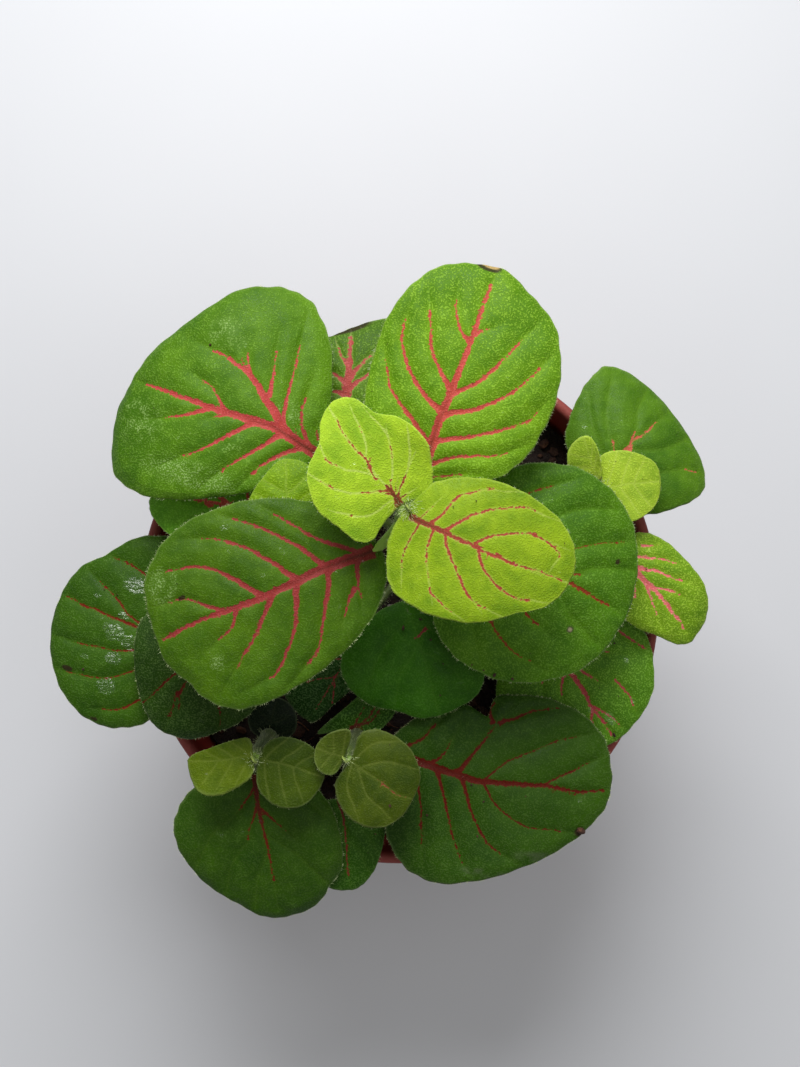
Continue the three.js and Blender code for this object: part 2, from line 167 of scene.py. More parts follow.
def tint(red, green, blue):
    # a screen colour, 0 to 255, as the linear colour that the shader takes
    def linear(level):
        level = level / 255
        return level / 12.92 if level <= 0.04045 else ((level + 0.055) / 1.055) ** 2.4
    return (linear(red), linear(green), linear(blue), 1.0)


# Every leaf starts from these and states what differs. Its form is the part's source's:
# half widths, egg shape of each half, bend and bulges of the outline.
plainLeaf = {
    "heading": 0, "length": 20, "left": 10, "right": 10, "leftEgg": 0, "rightEgg": 0,
    "blunt": 0, "lobe": 2, "pitch": 12, "droop": 30, "cup": -0.1, "wave": 0.5, "waves": 3,
    "phase": 0, "joint": 0.8, "bulges": [],
    "green": (88, 140, 50), "red": (196, 62, 74),
    "veins": [],             # (half width at the start, [(mm from the stalk, mm to the left)])
    "pairs": 5,              # pairs of side veins where a leaf has no list of its own
    "redShare": 0.0,         # half width of the red in those
    "relief": 0.8,           # share of the full height of its swellings
    "pale": 0.02,            # how cream its veins are past their red
    "grain": 1.0,            # how clearly its raised cells show, with their painted light and shade
    "fringe": 1.0,           # share of the full number of hairs on its edge
    "fade": 0,               # above 0 it is lighter by the stalk, below 0 darker there as painted shade
    "wet": [],               # drops: (mm from the stalk, mm to the left, size)
    "scars": [],             # (mm from the stalk, mm to the left, half sizes, kind)
    "specks": [],            # peat crumbs: (mm from the stalk, mm to the left, size)
}

# The leaves of each stem, then those of its young tip.
mainLeaves = {
    "northBig": {
        "base": (3.5, 20.5, 96.5), "heading": 71, "length": 36, "left": 14, "right": 16,
        "bulges": [(-27, 14, -0.045), (95, 24, -0.035), (10, 10, -0.02)],
        "blunt": 0.08, "lobe": 1.5, "pitch": 14, "droop": 28, "wave": 0.5, "joint": 0.86,
        "grain": 0.58, "fade": 0.8, "green": (97, 143, 14), "red": (187, 62, 61),
        "veins": [
            (1.0, [(0, 0), (5, 0.3), (13, 0.2), (23, -0.3), (33, -0.4)]),
            (0.5, [(6, 0.8), (9, 5), (12, 9), (16.5, 11.5)]),
            (0.5, [(11.5, 1), (13, 4), (16, 7.5), (20, 10), (23.5, 10.5)]),
            (0.45, [(15.5, 0.8), (17, 2.5), (20, 5), (26, 7.5)]),
            (0.35, [(23, 0), (24.5, 2), (27, 3.5), (29, 4)]),
            (0.3, [(1, -1.5), (3, -6)]),
            (0.45, [(3, -0.8), (5.5, -4.5), (7.5, -10), (8.5, -11.5)]),
            (0.5, [(7, -1), (9, -5), (12, -10), (14.5, -13), (16.5, -14)]),
            (0.5, [(11.5, -1), (13, -4), (16, -7.5), (20, -10.5), (23, -12)]),
            (0.45, [(15, -0.8), (17, -3), (20, -5), (26.5, -8)]),
            (0.35, [(24.5, -0.6), (26, -2.5)]),
        ],
        "scars": [(35.6, 0.8, 1.0, 2.3, "brown"), (35.9, 0.7, 0.6, 1.7, "tan")],
    },
    "westBig": {
        "base": (-3.7, 9.5, 95.8), "heading": -160, "length": 38.3, "left": 17, "right": 14.5,
        "bulges": [(95, 28, -0.065), (28, 10, -0.04), (-5, 15, -0.035), (166, 22, 0.07)],
        "leftEgg": 0.22, "rightEgg": 0.17, "blunt": 0.07, "lobe": 1.5, "pitch": 14, "droop": 28,
        "phase": 1.5, "joint": 0.95,
        "grain": 0.24, "green": (61, 98, 3), "red": (145, 43, 47),
        "veins": [
            (1.1, [(0, 0), (8.8, 0), (13.8, 0.5), (20.8, 1), (25.8, 1), (31.8, 1.2), (36.8, 2)]),
            (0.5, [(3.3, 0.5), (4.3, 3.5), (4.8, 6.5)]),
            (0.35, [(4.8, 4.2), (6.8, 6), (8.3, 8.5)]),
            (0.5, [(8.3, 1), (9.3, 3.5), (11.8, 8), (13.8, 11.5), (16.8, 13.5)]),
            (0.55, [(13.8, 1.3), (15.8, 6.5), (18.8, 10.5), (21.3, 12.8), (22.8, 13.2)]),
            (0.5, [(18.3, 1.8), (19.8, 3.5), (22.8, 6.5), (27.3, 10.2)]),
            (0.4, [(23.8, 1.3), (25.3, 3.5), (28.3, 5)]),
            (0.5, [(3.8, -1.5), (7.8, -4.5), (10.8, -8), (13.3, -11)]),
            (0.5, [(8.8, -1), (10.8, -4), (14.8, -8.5), (19.8, -12.5)]),
            (0.5, [(13.8, -0.5), (15.8, -3.5), (18.8, -7), (22.8, -10), (25.3, -11)]),
            (0.5, [(19.8, 0), (21.8, -2.5), (25.3, -6), (28.8, -7.5), (32.8, -8)]),
            (0.35, [(26.3, 0.5), (28.8, -1.5), (30.8, -3), (33.8, -3.3)]),
        ],
        "wet": [(21.1, -11.3, 1.1)],
        "scars": [
            (33.4, -6, 3, 3.4, "haze"), (29.2, 8.2, 1.6, 1.4, "haze"), (31.3, -3.3, 0.7, 0.4, "brown"),
        ],
    },
    "northWestBig": {
        "base": (-13, 24, 86), "heading": 163, "length": 37.5, "left": 13, "right": 23.5,
        "bulges": [(-10, 28, -0.09), (-82, 16, 0.055), (36, 9, 0.05), (90, 28, -0.06)],
        "leftEgg": 0.5, "rightEgg": -0.42, "blunt": 0.04, "lobe": 0, "pitch": 20, "droop": 56,
        "cup": -0.14, "phase": 0.6, "joint": 0.62,
        "grain": 0.42, "fade": 0.6, "green": (75, 119, 12), "red": (183, 58, 62),
        "veins": [
            (1.1, [(0, -0.6), (5, -2), (9, -3), (15, -3), (20, -3), (25, -3.4), (32, -3.8)]),
            (0.5, [(4, -0.8), (7, 1.5), (9, 3.8), (10, 5.5)]),
            (0.5, [(8, -1.5), (10, 1), (13, 4), (15, 6.5)]),
            (0.5, [(12, -2.8), (15, 0), (18, 3), (22, 6)]),
            (0.4, [(20, -2.8), (23, -0.8), (27, 0.8)]),
            (0.3, [(17, -2.6), (19, -1.5)]),
            (0.9, [(7, -3), (9, -5), (12, -7.5), (15, -10), (19, -11.5), (22.5, -12.2)]),
            (0.5, [(7.6, -4.5), (8, -8), (8.3, -14), (8.5, -17.5)]),
            (0.5, [(11, -7), (11.2, -10), (12, -15)]),
            (0.35, [(15, -10), (16.5, -13.5)]),
            (0.45, [(3, -2.5), (5, -6), (5, -9.5)]),
            (0.35, [(17.5, -3.5), (20, -6), (22.5, -7)]),
            (0.3, [(1, -3), (2, -5)]),
        ],
        "scars": [(20, 8.2, 11, 2.6, "haze"), (31, 2.5, 5, 4.5, "haze"), (20.5, -15.5, 4, 3, "haze"),
                  (7, -5, 4, 3.6, "haze"), (15, 1.5, 3, 2, "haze")],
        "specks": [(23, -12.8, 0.3)],
    },
    "eastBig": {
        "base": (6.5, 11, 88), "heading": -20, "length": 33.5, "left": 18.5, "right": 18,
        "leftEgg": 0.12, "lobe": 3, "pitch": 12, "droop": 30, "cup": -0.06, "wave": 0.6,
        "phase": 2.2, "joint": 0.6,
        "grain": 0.5, "green": (66, 112, 5), "red": (128, 36, 20),
        "veins": [
            (0.8, [(0, 0), (10, 0.5), (22, 0.7), (30, -0.7)]),
            (0.3, [(5, 1), (8, 8), (11, 12), (14.5, 14.7)]),
            (0.0, [(11, 0.8), (14, 7), (19, 12), (24, 14)]),
            (0.15, [(16, 0.8), (19, 4.5), (24, 8), (29, 10)]),
            (0.35, [(20, 0.7), (22, 2), (24, 2.8)]),
            (0.0, [(22, 2), (26, 4.5), (31, 6)]),
            (0.0, [(5, -1), (8, -8), (11, -13)]),
            (0.35, [(9, -3), (12, -9), (17, -12.5), (21, -13.5)]),
            (0.35, [(14, -2), (17, -6), (20, -7.5)]),
            (0.0, [(20, -0.2), (24, -4), (29, -6.5)]),
        ],
        "scars": [(25, -6.3, 0.6, 0.6, "ring"), (28.7, 6.6, 0.4, 0.5, "brown")],
        "specks": [(12, -17, 0.3), (14, -17.2, 0.25), (16, -17.4, 0.3), (19, -17, 0.22)],
    },
    "northUnder": {
        "base": (-4.5, 27, 78.5), "heading": 100, "length": 21, "left": 9.5, "right": 10,
        "bulges": [(12, 16, -0.08), (-26, 14, 0.13)],
        "rightEgg": 0.25, "blunt": 0.2, "pitch": 12, "droop": 36, "joint": 0.36,
        "grain": 0.7, "pale": 0.45, "green": (75, 114, 14), "red": (174, 64, 66),
        "veins": [
            (1.3, [(0, 1), (8, 2.8), (12, 1.8), (19, 0.4)]),
            (0.6, [(9, 2.8), (10, 5), (10.5, 6.5)]),
            (0.5, [(11, 2.5), (13, 4.5), (14, 6)]),
            (0.35, [(14, 1.6), (16, 2.6), (17.5, 2.8)]),
            (0.5, [(10, 2), (11.5, -1), (12.5, -4)]),
            (0.5, [(12, 1.3), (14, -1), (15, -2.5)]),
        ],
        "scars": [(21, 2, 1.6, 6, "brown")],
    },
    "southUnder": {
        "base": (1, 1, 80.5), "heading": -73, "length": 20.5, "left": 10.5, "right": 13.5,
        "bulges": [(50, 12, -0.07), (-38, 15, -0.09)],
        "leftEgg": 0.35, "rightEgg": -0.15, "lobe": 0, "pitch": 10, "droop": 28, "phase": 1,
        "joint": 0.38,
        "grain": 0.3, "green": (44, 96, 3), "red": (140, 44, 48),
        "veins": [
            (0.35, [(5.4, 2.2), (6.8, -0.4)]),
            (0.0, [(0, 0), (10, 0.3), (18, 0)]),
            (0.0, [(4, 0.3), (8, 5), (14, 8)]),
            (0.0, [(9, 0.3), (13, 4), (17, 5.5)]),
            (0.0, [(3, -0.3), (7, -6), (11, -9.5)]),
            (0.0, [(8, -0.3), (12, -4.5), (16, -6.5)]),
        ],
        "specks": [(3.8, 1.6, 0.3), (4.3, -1.6, 0.35), (7.5, 2.2, 0.2), (12, 3, 0.18), (17, 1, 0.15)],
    },
    "southLow": {
        "base": (-5, -2, 69.5), "heading": -120, "length": 21.5, "left": 4, "right": 9.5,
        "bulges": [(48, 24, -0.2)],
        "rightEgg": 0.1, "pitch": 8, "droop": 20, "joint": 0.24,
        "green": (28, 66, 12), "red": (140, 44, 48), "pairs": 4, "redShare": 0.2,
    },
}

mainTip = {
    "limeWest": {
        "base": (0.3, 16.8, 103.5), "heading": 127, "length": 18.5, "left": 11, "right": 7.8,
        "bulges": [(35, 20, -0.23), (-12, 14, 0.05), (-48, 15, -0.19), (-84, 16, 0.1), (-165, 40, 0.05),
                   (142, 14, 0.07), (103, 16, -0.07)],
        "rightEgg": 0.2, "blunt": -0.1, "lobe": 8, "pitch": 24, "droop": 34, "cup": 0.08,
        "wave": 0.4,
        "green": (143, 184, 38), "red": (156, 42, 40), "relief": 0.28, "pale": 0.75, "grain": 0.14,
        "veins": [
            (0.0, [(0, 0.2), (2.6, 0.1), (5.8, 0.5), (9.2, 0.3), (11.8, 0.7), (14.2, 0.6), (16.8, 0.2)]),
            (0.18, [(8.6, 0.3), (10.4, 0.5), (11.8, 0.7), (14.2, 0.6), (16.7, 0.2)]),
            (0.3, [(5.6, 0.8), (6.7, 0.8), (8.1, 0.4), (9.2, 0.3), (11.4, 0.6)]),
            (1.0, [(-2.2, 0.2), (0.1, 0.2), (1.3, 0.1), (2.6, 0.1), (3.9, 0.3)]),
            (0.2, [(0.5, -0.2), (0.7, -0.9), (0.6, -2.2)]),
            (0.24, [(2.4, 0), (3.3, -0.4), (4, -1.1)]),
            (0.24, [(1.9, 0.2), (2.6, 0.7), (3, 1.2)]),
            (0.2, [(0.4, 0.5), (0.1, 1), (-0.3, 1.7)]),
            (0.14, [(1.2, -0.4), (2, -1.2), (2.9, -2.7), (3.9, -4.3)]),
            (0.0, [(3.9, -4.2), (5.5, -5.7), (7.4, -6.8)]),
            (0.0, [(2.8, -0.2), (3.6, -0.8), (5.7, -2.4), (7.8, -3.8), (9.8, -4.6), (11.6, -4.5)]),
            (0.12, [(6.4, -2.9), (7.8, -3.8), (9.4, -4.5)]),
            (0.0, [(9, 0.3), (10.1, -0.8), (11.9, -1.6), (14, -2.1)]),
            (0.12, [(12.3, -1.7), (13.8, -2.1)]),
            (0.0, [(5.6, 0.5), (7.5, 1.7), (9.1, 3.4), (10.3, 4.1), (12, 5.2), (13.2, 5)]),
            (0.12, [(10.3, 4.1), (11, 4.6), (12, 5.2), (12.8, 5.1)]),
            (0.0, [(2.6, 0.2), (3.9, 1.8), (4.8, 3.4), (5.7, 4.6), (6.7, 5.8), (8.5, 7), (10.4, 7.8)]),
            (0.12, [(3.9, 1.8), (5.2, 4)]),
            (0.13, [(8.2, 6.8), (9.2, 7.4), (10.5, 7.8)]),
            (0.0, [(1.3, 1), (1.2, 3.2), (1.5, 4.9), (2.5, 6.4), (3.5, 7.3)]),
            (0.2, [(3.2, 7.1), (3.6, 7.5)]),
        ],
        "specks": [(8, 0.6, 0.1), (14.5, 4.6, 0.1)],
    },
    "limeEast": {
        "base": (1.6, 15, 103.2), "heading": -21, "length": 27, "left": 9.5, "right": 13,
        "bulges": [(58, 20, -0.03), (-52, 14, -0.07), (-130, 14, 0.06), (-165, 24, 0.13)],
        "leftEgg": 0.2, "rightEgg": -0.15, "blunt": -0.08, "lobe": 5.5, "pitch": 18, "droop": 32,
        "cup": -0.06, "wave": 0.4, "phase": 2,
        "green": (120, 155, 21), "red": (158, 44, 46), "relief": 0.28, "pale": 0.4, "grain": 0.14,
        "veins": [
            (0.56, [(0, -0.2), (4.3, -0.5), (9, -0.8), (12.4, -1.1), (17.9, -1.3)]),
            (0.3, [(14, -1.2), (17.9, -1.3), (21.2, -1), (25.8, -1)]),
            (0.14, [(2, 0.3), (2.6, 1.5), (3.2, 2.7)]),
            (0.26, [(3.8, 0), (5, 1.9), (5.5, 3.9), (6.5, 5.5), (7.8, 6.5), (9.1, 7.4), (11.2, 8.1)]),
            (0.3, [(6.4, -0.2), (7.7, 1.6), (9.4, 3.4), (11.4, 5), (14.6, 6.7), (16.3, 7.3), (18.2, 7.3)]),
            (0.28, [(11.2, -0.6), (12.3, 0.7), (13.9, 1.8), (16, 2.9), (18.3, 3.9), (20.6, 3.9)]),
            (0.22, [(18.6, 3.9), (20.6, 3.8), (22.4, 3.4), (23.8, 2.6), (23.8, 1.8)]),
            (0.22, [(2, -0.6), (1.7, -3.2), (1.3, -5.3), (1.5, -6.9), (1.9, -8.1)]),
            (0.2, [(4.4, -0.8), (4.5, -3.5), (5, -5.2), (5.5, -6.3), (6.6, -8.3)]),
            (0.16, [(7, -9.2), (7.6, -10), (10, -11.1), (11.8, -11.6)]),
            (0.28, [(6.4, -0.7), (7.4, -2.7), (9.3, -4.6), (10.8, -6.3), (12.3, -7.7), (14, -8.8),
                    (16.4, -9.2)]),
            (0.22, [(10.6, -6), (12.3, -7.7), (14, -8.8)]),
            (0.28, [(12, -1.1), (13, -2.9), (14.9, -4.4), (17, -5.6), (19.5, -6.1), (22.4, -5.6)]),
            (0.18, [(16.4, -5.3), (19.5, -6.1), (21.6, -5.8)]),
        ],
        "specks": [(6, 3.5, 0.12), (9, 5.6, 0.1), (24, 4.4, 0.12)],
    },
}

northEastLeaves = {
    "corner": {
        "base": (33, 20.5, 74.5), "heading": 40, "length": 20.5, "left": 12.5, "right": 11.5,
        "bulges": [(-8, 22, -0.09), (-62, 15, 0.03), (52, 14, 0.03)],
        "leftEgg": 0.45, "rightEgg": 0.45, "blunt": 0.2, "lobe": 7, "pitch": 22, "droop": 64,
        "cup": -0.12, "joint": 0.75,
        "grain": 0.2, "green": (73, 116, 16), "red": (190, 84, 66),
        "veins": [
            (0.35, [(0, 0), (9.5, 1.2), (12, 1), (16, 1)]),
            (0.35, [(8.5, 0.5), (10, 1.6), (11.5, 2.2)]),
            (0.3, [(6, 1.4), (7, 3), (7.5, 4)]),
            (0.0, [(7, 4), (10, 8), (14, 11)]),
            (0.0, [(4, 0.6), (6, 7), (9, 11.5)]),
            (0.0, [(11, 1.6), (14, 4.5), (18, 6)]),
            (0.0, [(5, -0.6), (9, -5), (14, -8)]),
            (0.14, [(14, -8), (15, -9), (16, -10)]),
            (0.0, [(9, 0), (13, -3), (18, -4.5)]),
        ],
    },
    "right": {
        "base": (35.5, 9.5, 78), "heading": -47, "length": 21.5, "left": 9, "right": 6.5,
        "bulges": [(85, 35, -0.1), (-5, 10, 0.03), (-50, 22, -0.15)],
        "leftEgg": 0.1, "lobe": 4, "pitch": 10, "droop": 36, "phase": 1, "joint": 0.6,
        "grain": 0.7, "green": (112, 153, 25), "red": (226, 104, 108),
        "veins": [
            (0.75, [(1, 0.2), (6, 0.5), (10, 0.7), (17, 0.4), (19, 0)]),
            (0.26, [(3, 4), (5, 6.3)]),
            (0.34, [(3.5, 1.8), (7, 5), (9.5, 6.5)]),
            (0.38, [(5.5, 1.2), (8, 3), (12.5, 5.3)]),
            (0.3, [(10, 1), (12, 2.5), (14, 3.3)]),
            (0.36, [(5, -0.4), (7, -1), (9, -2.6)]),
            (0.3, [(9, 0), (11, -0.8), (13.5, -1.8)]),
        ],
        "specks": [(6.5, 2, 0.18), (2.5, 0.8, 0.2), (8.5, -3, 0.2)],
    },
}

northEastTip = {
    "limeUp": {
        "base": (33, 21, 82), "heading": 113, "length": 8.5, "left": 4.2, "right": 1.4,
        "rightEgg": 0.5, "blunt": 0.15, "lobe": 1.2, "pitch": 36, "droop": 20, "cup": 0.15, "wave": 0.15,
        "grain": 0.3, "pale": 0.22, "green": (150, 186, 50), "red": (200, 90, 70), "pairs": 3,
    },
    "limeRight": {
        "base": (33.9, 19.5, 81.8), "heading": 8, "length": 9.6, "left": 6, "right": 6.2,
        "bulges": [(25, 20, 0.07)],
        "leftEgg": -0.1, "rightEgg": -0.1, "lobe": 3.5, "pitch": 14, "droop": 30, "cup": 0,
        "wave": 0.2, "green": (136, 170, 42), "red": (200, 90, 70), "pairs": 3,
        "grain": 0.35, "pale": 0.22, "fringe": 0.6,
        "specks": [(2.6, 4.2, 0.12), (6.6, 0.8, 0.1)],
    },
}

eastLeaves = {
    "lower": {
        "base": (23, -2.5, 72.2), "heading": -57, "length": 25.5, "left": 15.5, "right": 15,
        "bulges": [(97, 14, -0.06), (42, 15, 0.03)],
        "leftEgg": -0.2, "rightEgg": 0.4, "blunt": 0.1, "pitch": 9, "droop": 20, "cup": -0.04,
        "joint": 0.8,
        "grain": 0.7, "green": (78, 128, 19), "red": (172, 56, 64),
        "veins": [
            (0.75, [(2, 0.2), (10, 0.3), (14, 0.4), (19, 0.3), (24.5, 0.5)]),
            (0.4, [(10, 0.8), (12, 2), (15, 3.5)]),
            (0.2, [(9, 1), (9.5, 5), (12, 8)]),
            (0.3, [(7, 8), (9.5, 11), (12, 12), (15, 13.5)]),
            (0.3, [(18.5, 0.6), (21.5, 2), (24, 2.5)]),
            (0.2, [(16, 6), (20, 6.5), (23, 6)]),
            (0.4, [(10.5, -0.2), (12, -2), (14, -3.3)]),
            (0.3, [(18.5, 0), (20, -1.2), (22, -1.6)]),
            (0.3, [(7, -2), (9, -4), (10.5, -5)]),
        ],
        "wet": [(14.6, 9.4, 0.8), (21.5, 1.7, 1.6), (18.5, -0.3, 0.8), (21, 6.5, 0.8)],
        "specks": [(11, 9.3, 0.2), (24.3, 0.8, 0.35), (16, 3, 0.15), (19, 5, 0.15)],
    },
}

northWestLeaves = {
    "left": {
        "base": (-20, 15, 78.5), "heading": 174, "length": 22.5, "left": 8, "right": 7,
        "leftEgg": -0.3, "lobe": 0.5, "pitch": 10, "droop": 28, "joint": 0.6,
        "grain": 0.4, "green": (96, 160, 34), "red": (214, 74, 72),
        "veins": [
            (0.9, [(0, 0), (9.5, -1), (15, -1.3)]),
            (0.6, [(4.5, -0.6), (5.5, -2.5), (6, -4.6)]),
            (0.6, [(9, -1), (10.5, -2.5), (11.5, -4.6)]),
            (0.5, [(12, -0.9), (13.5, -2.2), (15, -3.6)]),
            (0.6, [(5, 0.4), (8, 3), (11, 4.4)]),
            (0.5, [(10, 0), (12.5, 2), (15, 2.8)]),
        ],
    },
}

northWestTip = {
    "limeNorth": {
        "base": (-17.2, 12.6, 91.6), "heading": 95, "length": 11.6, "left": 6.6, "right": 5.4,
        "bulges": [(48, 20, -0.07)],
        "leftEgg": -0.4, "rightEgg": 0.1, "lobe": 1.8, "pitch": 8, "droop": 24, "cup": -0.05,
        "wave": 0.2, "grain": 0.45, "pale": 0.15, "green": (102, 142, 2), "red": (160, 70, 40), "pairs": 3,
    },
}

westLeaves = {
    "glossy": {
        "base": (-35, -7, 73), "heading": 163, "length": 25, "left": 17.5, "right": 16.5,
        "bulges": [(75, 18, 0.03), (25, 25, 0.03), (-52, 14, -0.08)],
        "rightEgg": -0.2, "lobe": 4, "pitch": 16, "droop": 38, "joint": 0.78,
        "grain": 0.35, "green": (47, 85, 1), "red": (112, 18, 8),
        "veins": [
            (0.45, [(1, 0), (10, -0.3), (16, -0.8), (24, -1.5)]),
            (0.2, [(6, 5), (10, 8), (14, 10), (20, 10.5)]),
            (0.2, [(5, 1), (8, 3), (12, 4.4), (16, 5), (20.5, 5.3)]),
            (0.3, [(4, 9), (6, 11.5), (9, 14), (12, 15)]),
            (0.22, [(9, -0.8), (12, -1.8), (15, -4), (19, -6)]),
            (0.2, [(5, -5), (10, -8.4), (14, -10), (18, -10.5)]),
        ],
        "wet": [(12.4, -7, 2.6), (13, -1.4, 1.2), (13.4, 1.7, 2.7), (10.4, 2.6, 2.2), (12.4, 5.9, 1.9),
                (17.3, 7, 0.9), (12.4, 10.8, 2.3), (18.2, -3.4, 0.8)],
        "scars": [(19.8, 10, 1.1, 0.5, "brown"), (13, 17, 0.8, 0.3, "brown")],
        "specks": [(17, 9.3, 0.25), (17.5, -4.8, 0.15), (15, -4.6, 0.15)],
    },
    "dark": {
        "base": (-30.5, -3.5, 79), "heading": -116, "length": 20.5, "left": 12, "right": 11,
        "bulges": [(48, 26, -0.11)],
        "leftEgg": -0.1, "rightEgg": -0.4, "blunt": 0.15, "lobe": 2.5, "pitch": 10, "droop": 32,
        "phase": 1, "joint": 0.93,
        "grain": 0.6, "green": (34, 65, 1), "red": (86, 1, 2),
        "veins": [
            (0.5, [(0, 0), (12, -0.6), (14, -0.9), (17.5, -0.6)]),
            (0.3, [(13, -1), (14, 0), (15.5, 0.3)]),
            (0.2, [(10, 4), (13, 7), (16, 8)]),
            (0.25, [(9, -2), (13, -4), (16, -5), (18, -6)]),
            (0.0, [(5, 0), (8, 5), (11, 9)]),
        ],
    },
}

southLeaves = {
    "large": {
        "base": (-2, -25, 75.5), "heading": -10, "length": 39, "left": 13, "right": 19,
        "bulges": [(99.5, 5.5, -0.25), (-105, 14, 0.03)],
        "leftEgg": 0.4, "rightEgg": -0.3, "blunt": -0.04, "lobe": 5, "pitch": 11, "droop": 26,
        "cup": -0.06, "wave": 0.6, "phase": 0.4, "joint": 0.6,
        # its fade paints the shade of the leaf above onto its part by the stalk
        "grain": 0.35, "fade": -0.7, "green": (39, 74, 1), "red": (92, 3, 4),
        "veins": [
            (0.9, [(0, 0), (3, 0), (8, -0.8), (13, -1.5), (17, -1.8), (22, -1.3), (28, -0.7), (33, -0.9),
                   (38, 0)]),
            (0.45, [(1, 0.6), (5, 3), (7.5, 6.5)]),
            (0.35, [(8, 0), (9.5, 1.5), (10.5, 4.5)]),
            (0.45, [(13, 0), (15, 3.5), (17.5, 8)]),
            (0.35, [(17, 8), (16, 10), (16.6, 12)]),
            (0.35, [(17.6, 8.2), (21, 10), (24, 11.5), (27.5, 12.5)]),
            (0.2, [(17.5, -1), (20, 2), (24, 4.5), (28, 7), (31.5, 8.3)]),
            (0.22, [(27.5, -0.3), (31, 2), (34.5, 4.3)]),
            (0.3, [(5, -1), (7, -7), (8.5, -14.5)]),
            (0.35, [(9, -1.6), (11, -6), (14, -13), (16, -16)]),
            (0.35, [(13.5, -2.2), (16, -7.5), (19.5, -12), (22.5, -13.5)]),
            (0.2, [(17, -2.2), (20, -5.5), (25, -8), (32, -8)]),
            (0.3, [(29.5, -0.9), (33, -1.4)]),
        ],
        "scars": [(34.8, -7.6, 1.0, 0.9, "brown"), (29, -13, 6, 1.2, "grey"), (20, -17, 5, 0.9, "grey")],
        "specks": [
            (34.9, -7.4, 0.65), (15, -2.6, 0.2), (24.3, -3, 0.15), (17.5, -5, 0.2), (17.5, -11, 0.25),
            (8.5, -9, 0.25),
        ],
    },
    "low": {
        "base": (-10.5, -33, 73.5), "heading": -82, "length": 16.5, "left": 7.5, "right": 7,
        "leftEgg": -0.3, "rightEgg": 0.2, "lobe": 4, "pitch": 6, "droop": 26, "joint": 0.5,
        "grain": 0.6, "green": (43, 86, 1), "red": (130, 44, 36),
        "veins": [
            (0.3, [(0, 0), (4, 0.6), (8, 0.4), (14, 0)]),
            (0.0, [(3, 0.4), (6, 3.4), (9, 5)]),
            (0.0, [(7, 0.4), (10, 2.6), (13, 3.4)]),
            (0.0, [(3, 0), (6, -3), (9, -4.4)]),
        ],
        "specks": [(5, 4.2, 0.2), (7, 5.6, 0.15)],
    },
    "back": {
        "base": (-9.2, -22, 73.5), "heading": 44, "length": 14, "left": 3, "right": 3.8,
        "bulges": [(132, 22, 0.45), (-40, 30, -0.1)],
        "lobe": 3, "pitch": 5, "droop": 20, "cup": 0.05, "wave": 0.4, "joint": 0.66,
        "green": (47, 92, 5), "red": (112, 34, 26),
        "veins": [
            (0.35, [(0, -0.2), (2, -0.3), (4.5, -1.4), (8.5, -1.2)]),
            (0.25, [(2, -0.3), (4.2, 0.6), (5.6, 1.0)]),
            (0.2, [(3, -0.8), (6, -0.6), (9, 0.2)]),
            (0.0, [(1, 0), (-1, 2), (-3, 3.6)]),
        ],
    },
}

southTip = {
    "limeRight": {
        "base": (-8, -25, 86), "heading": -27, "length": 12.6, "left": 7, "right": 7.7,
        "bulges": [(42, 28, -0.1), (-80, 20, 0.05), (0, 20, -0.05)],
        "leftEgg": 0.15, "rightEgg": 0.35, "lobe": 5.5, "pitch": 12, "droop": 30, "cup": -0.04,
        "wave": 0.25, "green": (60, 79, 3), "red": (130, 62, 40), "grain": 0.2, "pale": 0.1, "fringe": 0.4,
        "veins": [
            (0.0, [(0, 0), (3, -0.4), (6.5, -0.8)]),
            (0.12, [(6.5, -0.8), (9, -1.4), (11, -1.2)]),
            (0.0, [(2, -0.3), (5, 2.4), (9, 3.4)]),
            (0.0, [(0.6, 0.2), (2, 4), (4.5, 5.8)]),
            (0.0, [(2, -0.6), (5, -3.6), (8.5, -4.8)]),
            (0.0, [(0.6, -0.4), (1.6, -4), (4, -6.4)]),
        ],
        "specks": [(9.2, -3.5, 0.22), (4.6, 5.4, 0.12)],
    },
    "limeLeft": {
        "base": (-8.9, -24.2, 86.6), "heading": 160, "length": 5.2, "left": 3.6, "right": 4.4,
        "rightEgg": -0.3, "lobe": 0.5, "pitch": 30, "droop": 20, "cup": 0.25, "wave": 0.1,
        "green": (66, 86, 16), "red": (120, 60, 40), "pairs": 2, "grain": 0.2, "pale": 0.1, "fringe": 0.4,
    },
}

southWestLeaves = {
    "bottom": {
        "base": (-24.2, -28, 77.5), "heading": -79, "length": 27, "left": 12, "right": 15,
        "bulges": [(-42, 20, -0.08), (-150, 12, 0.05), (42, 10, -0.05)],
        "leftEgg": 0.15, "rightEgg": -0.25, "lobe": 4, "pitch": 8, "droop": 38, "phase": 2,
        "joint": 0.72,
        "grain": 0.3, "green": (44, 79, 1), "red": (102, 22, 8),
        "veins": [
            (0.5, [(0, -0.3), (8, -0.5), (13, -0.3), (19.5, -0.6)]),
            (0.3, [(6.5, 0), (8.5, 1.5), (11, 3.3)]),
            (0.3, [(2.5, -0.6), (5, -3), (6.5, -4.8)]),
            (0.3, [(6, -0.8), (9, -2.5), (11, -3.3)]),
            (0.0, [(2, 0), (4, 5), (8, 9)]),
            (0.0, [(11, 0), (15, 4), (20, 7)]),
            (0.0, [(6.5, -4.8), (9, -9), (13, -12)]),
            (0.0, [(11, -3.3), (15, -7), (20, -9)]),
            (0.0, [(14, -0.6), (18, -3), (23, -4.5)]),
        ],
    },
    "smallDark": {
        "base": (-22.2, -23.2, 71.5), "heading": 80, "length": 7.4, "left": 4.2, "right": 4.2,
        "lobe": 1, "pitch": 16, "droop": 30, "wave": 0.1, "joint": 0.5,
        "green": (8, 26, 5), "pairs": 2, "grain": 0.3, "fringe": 0.1,
    },
}

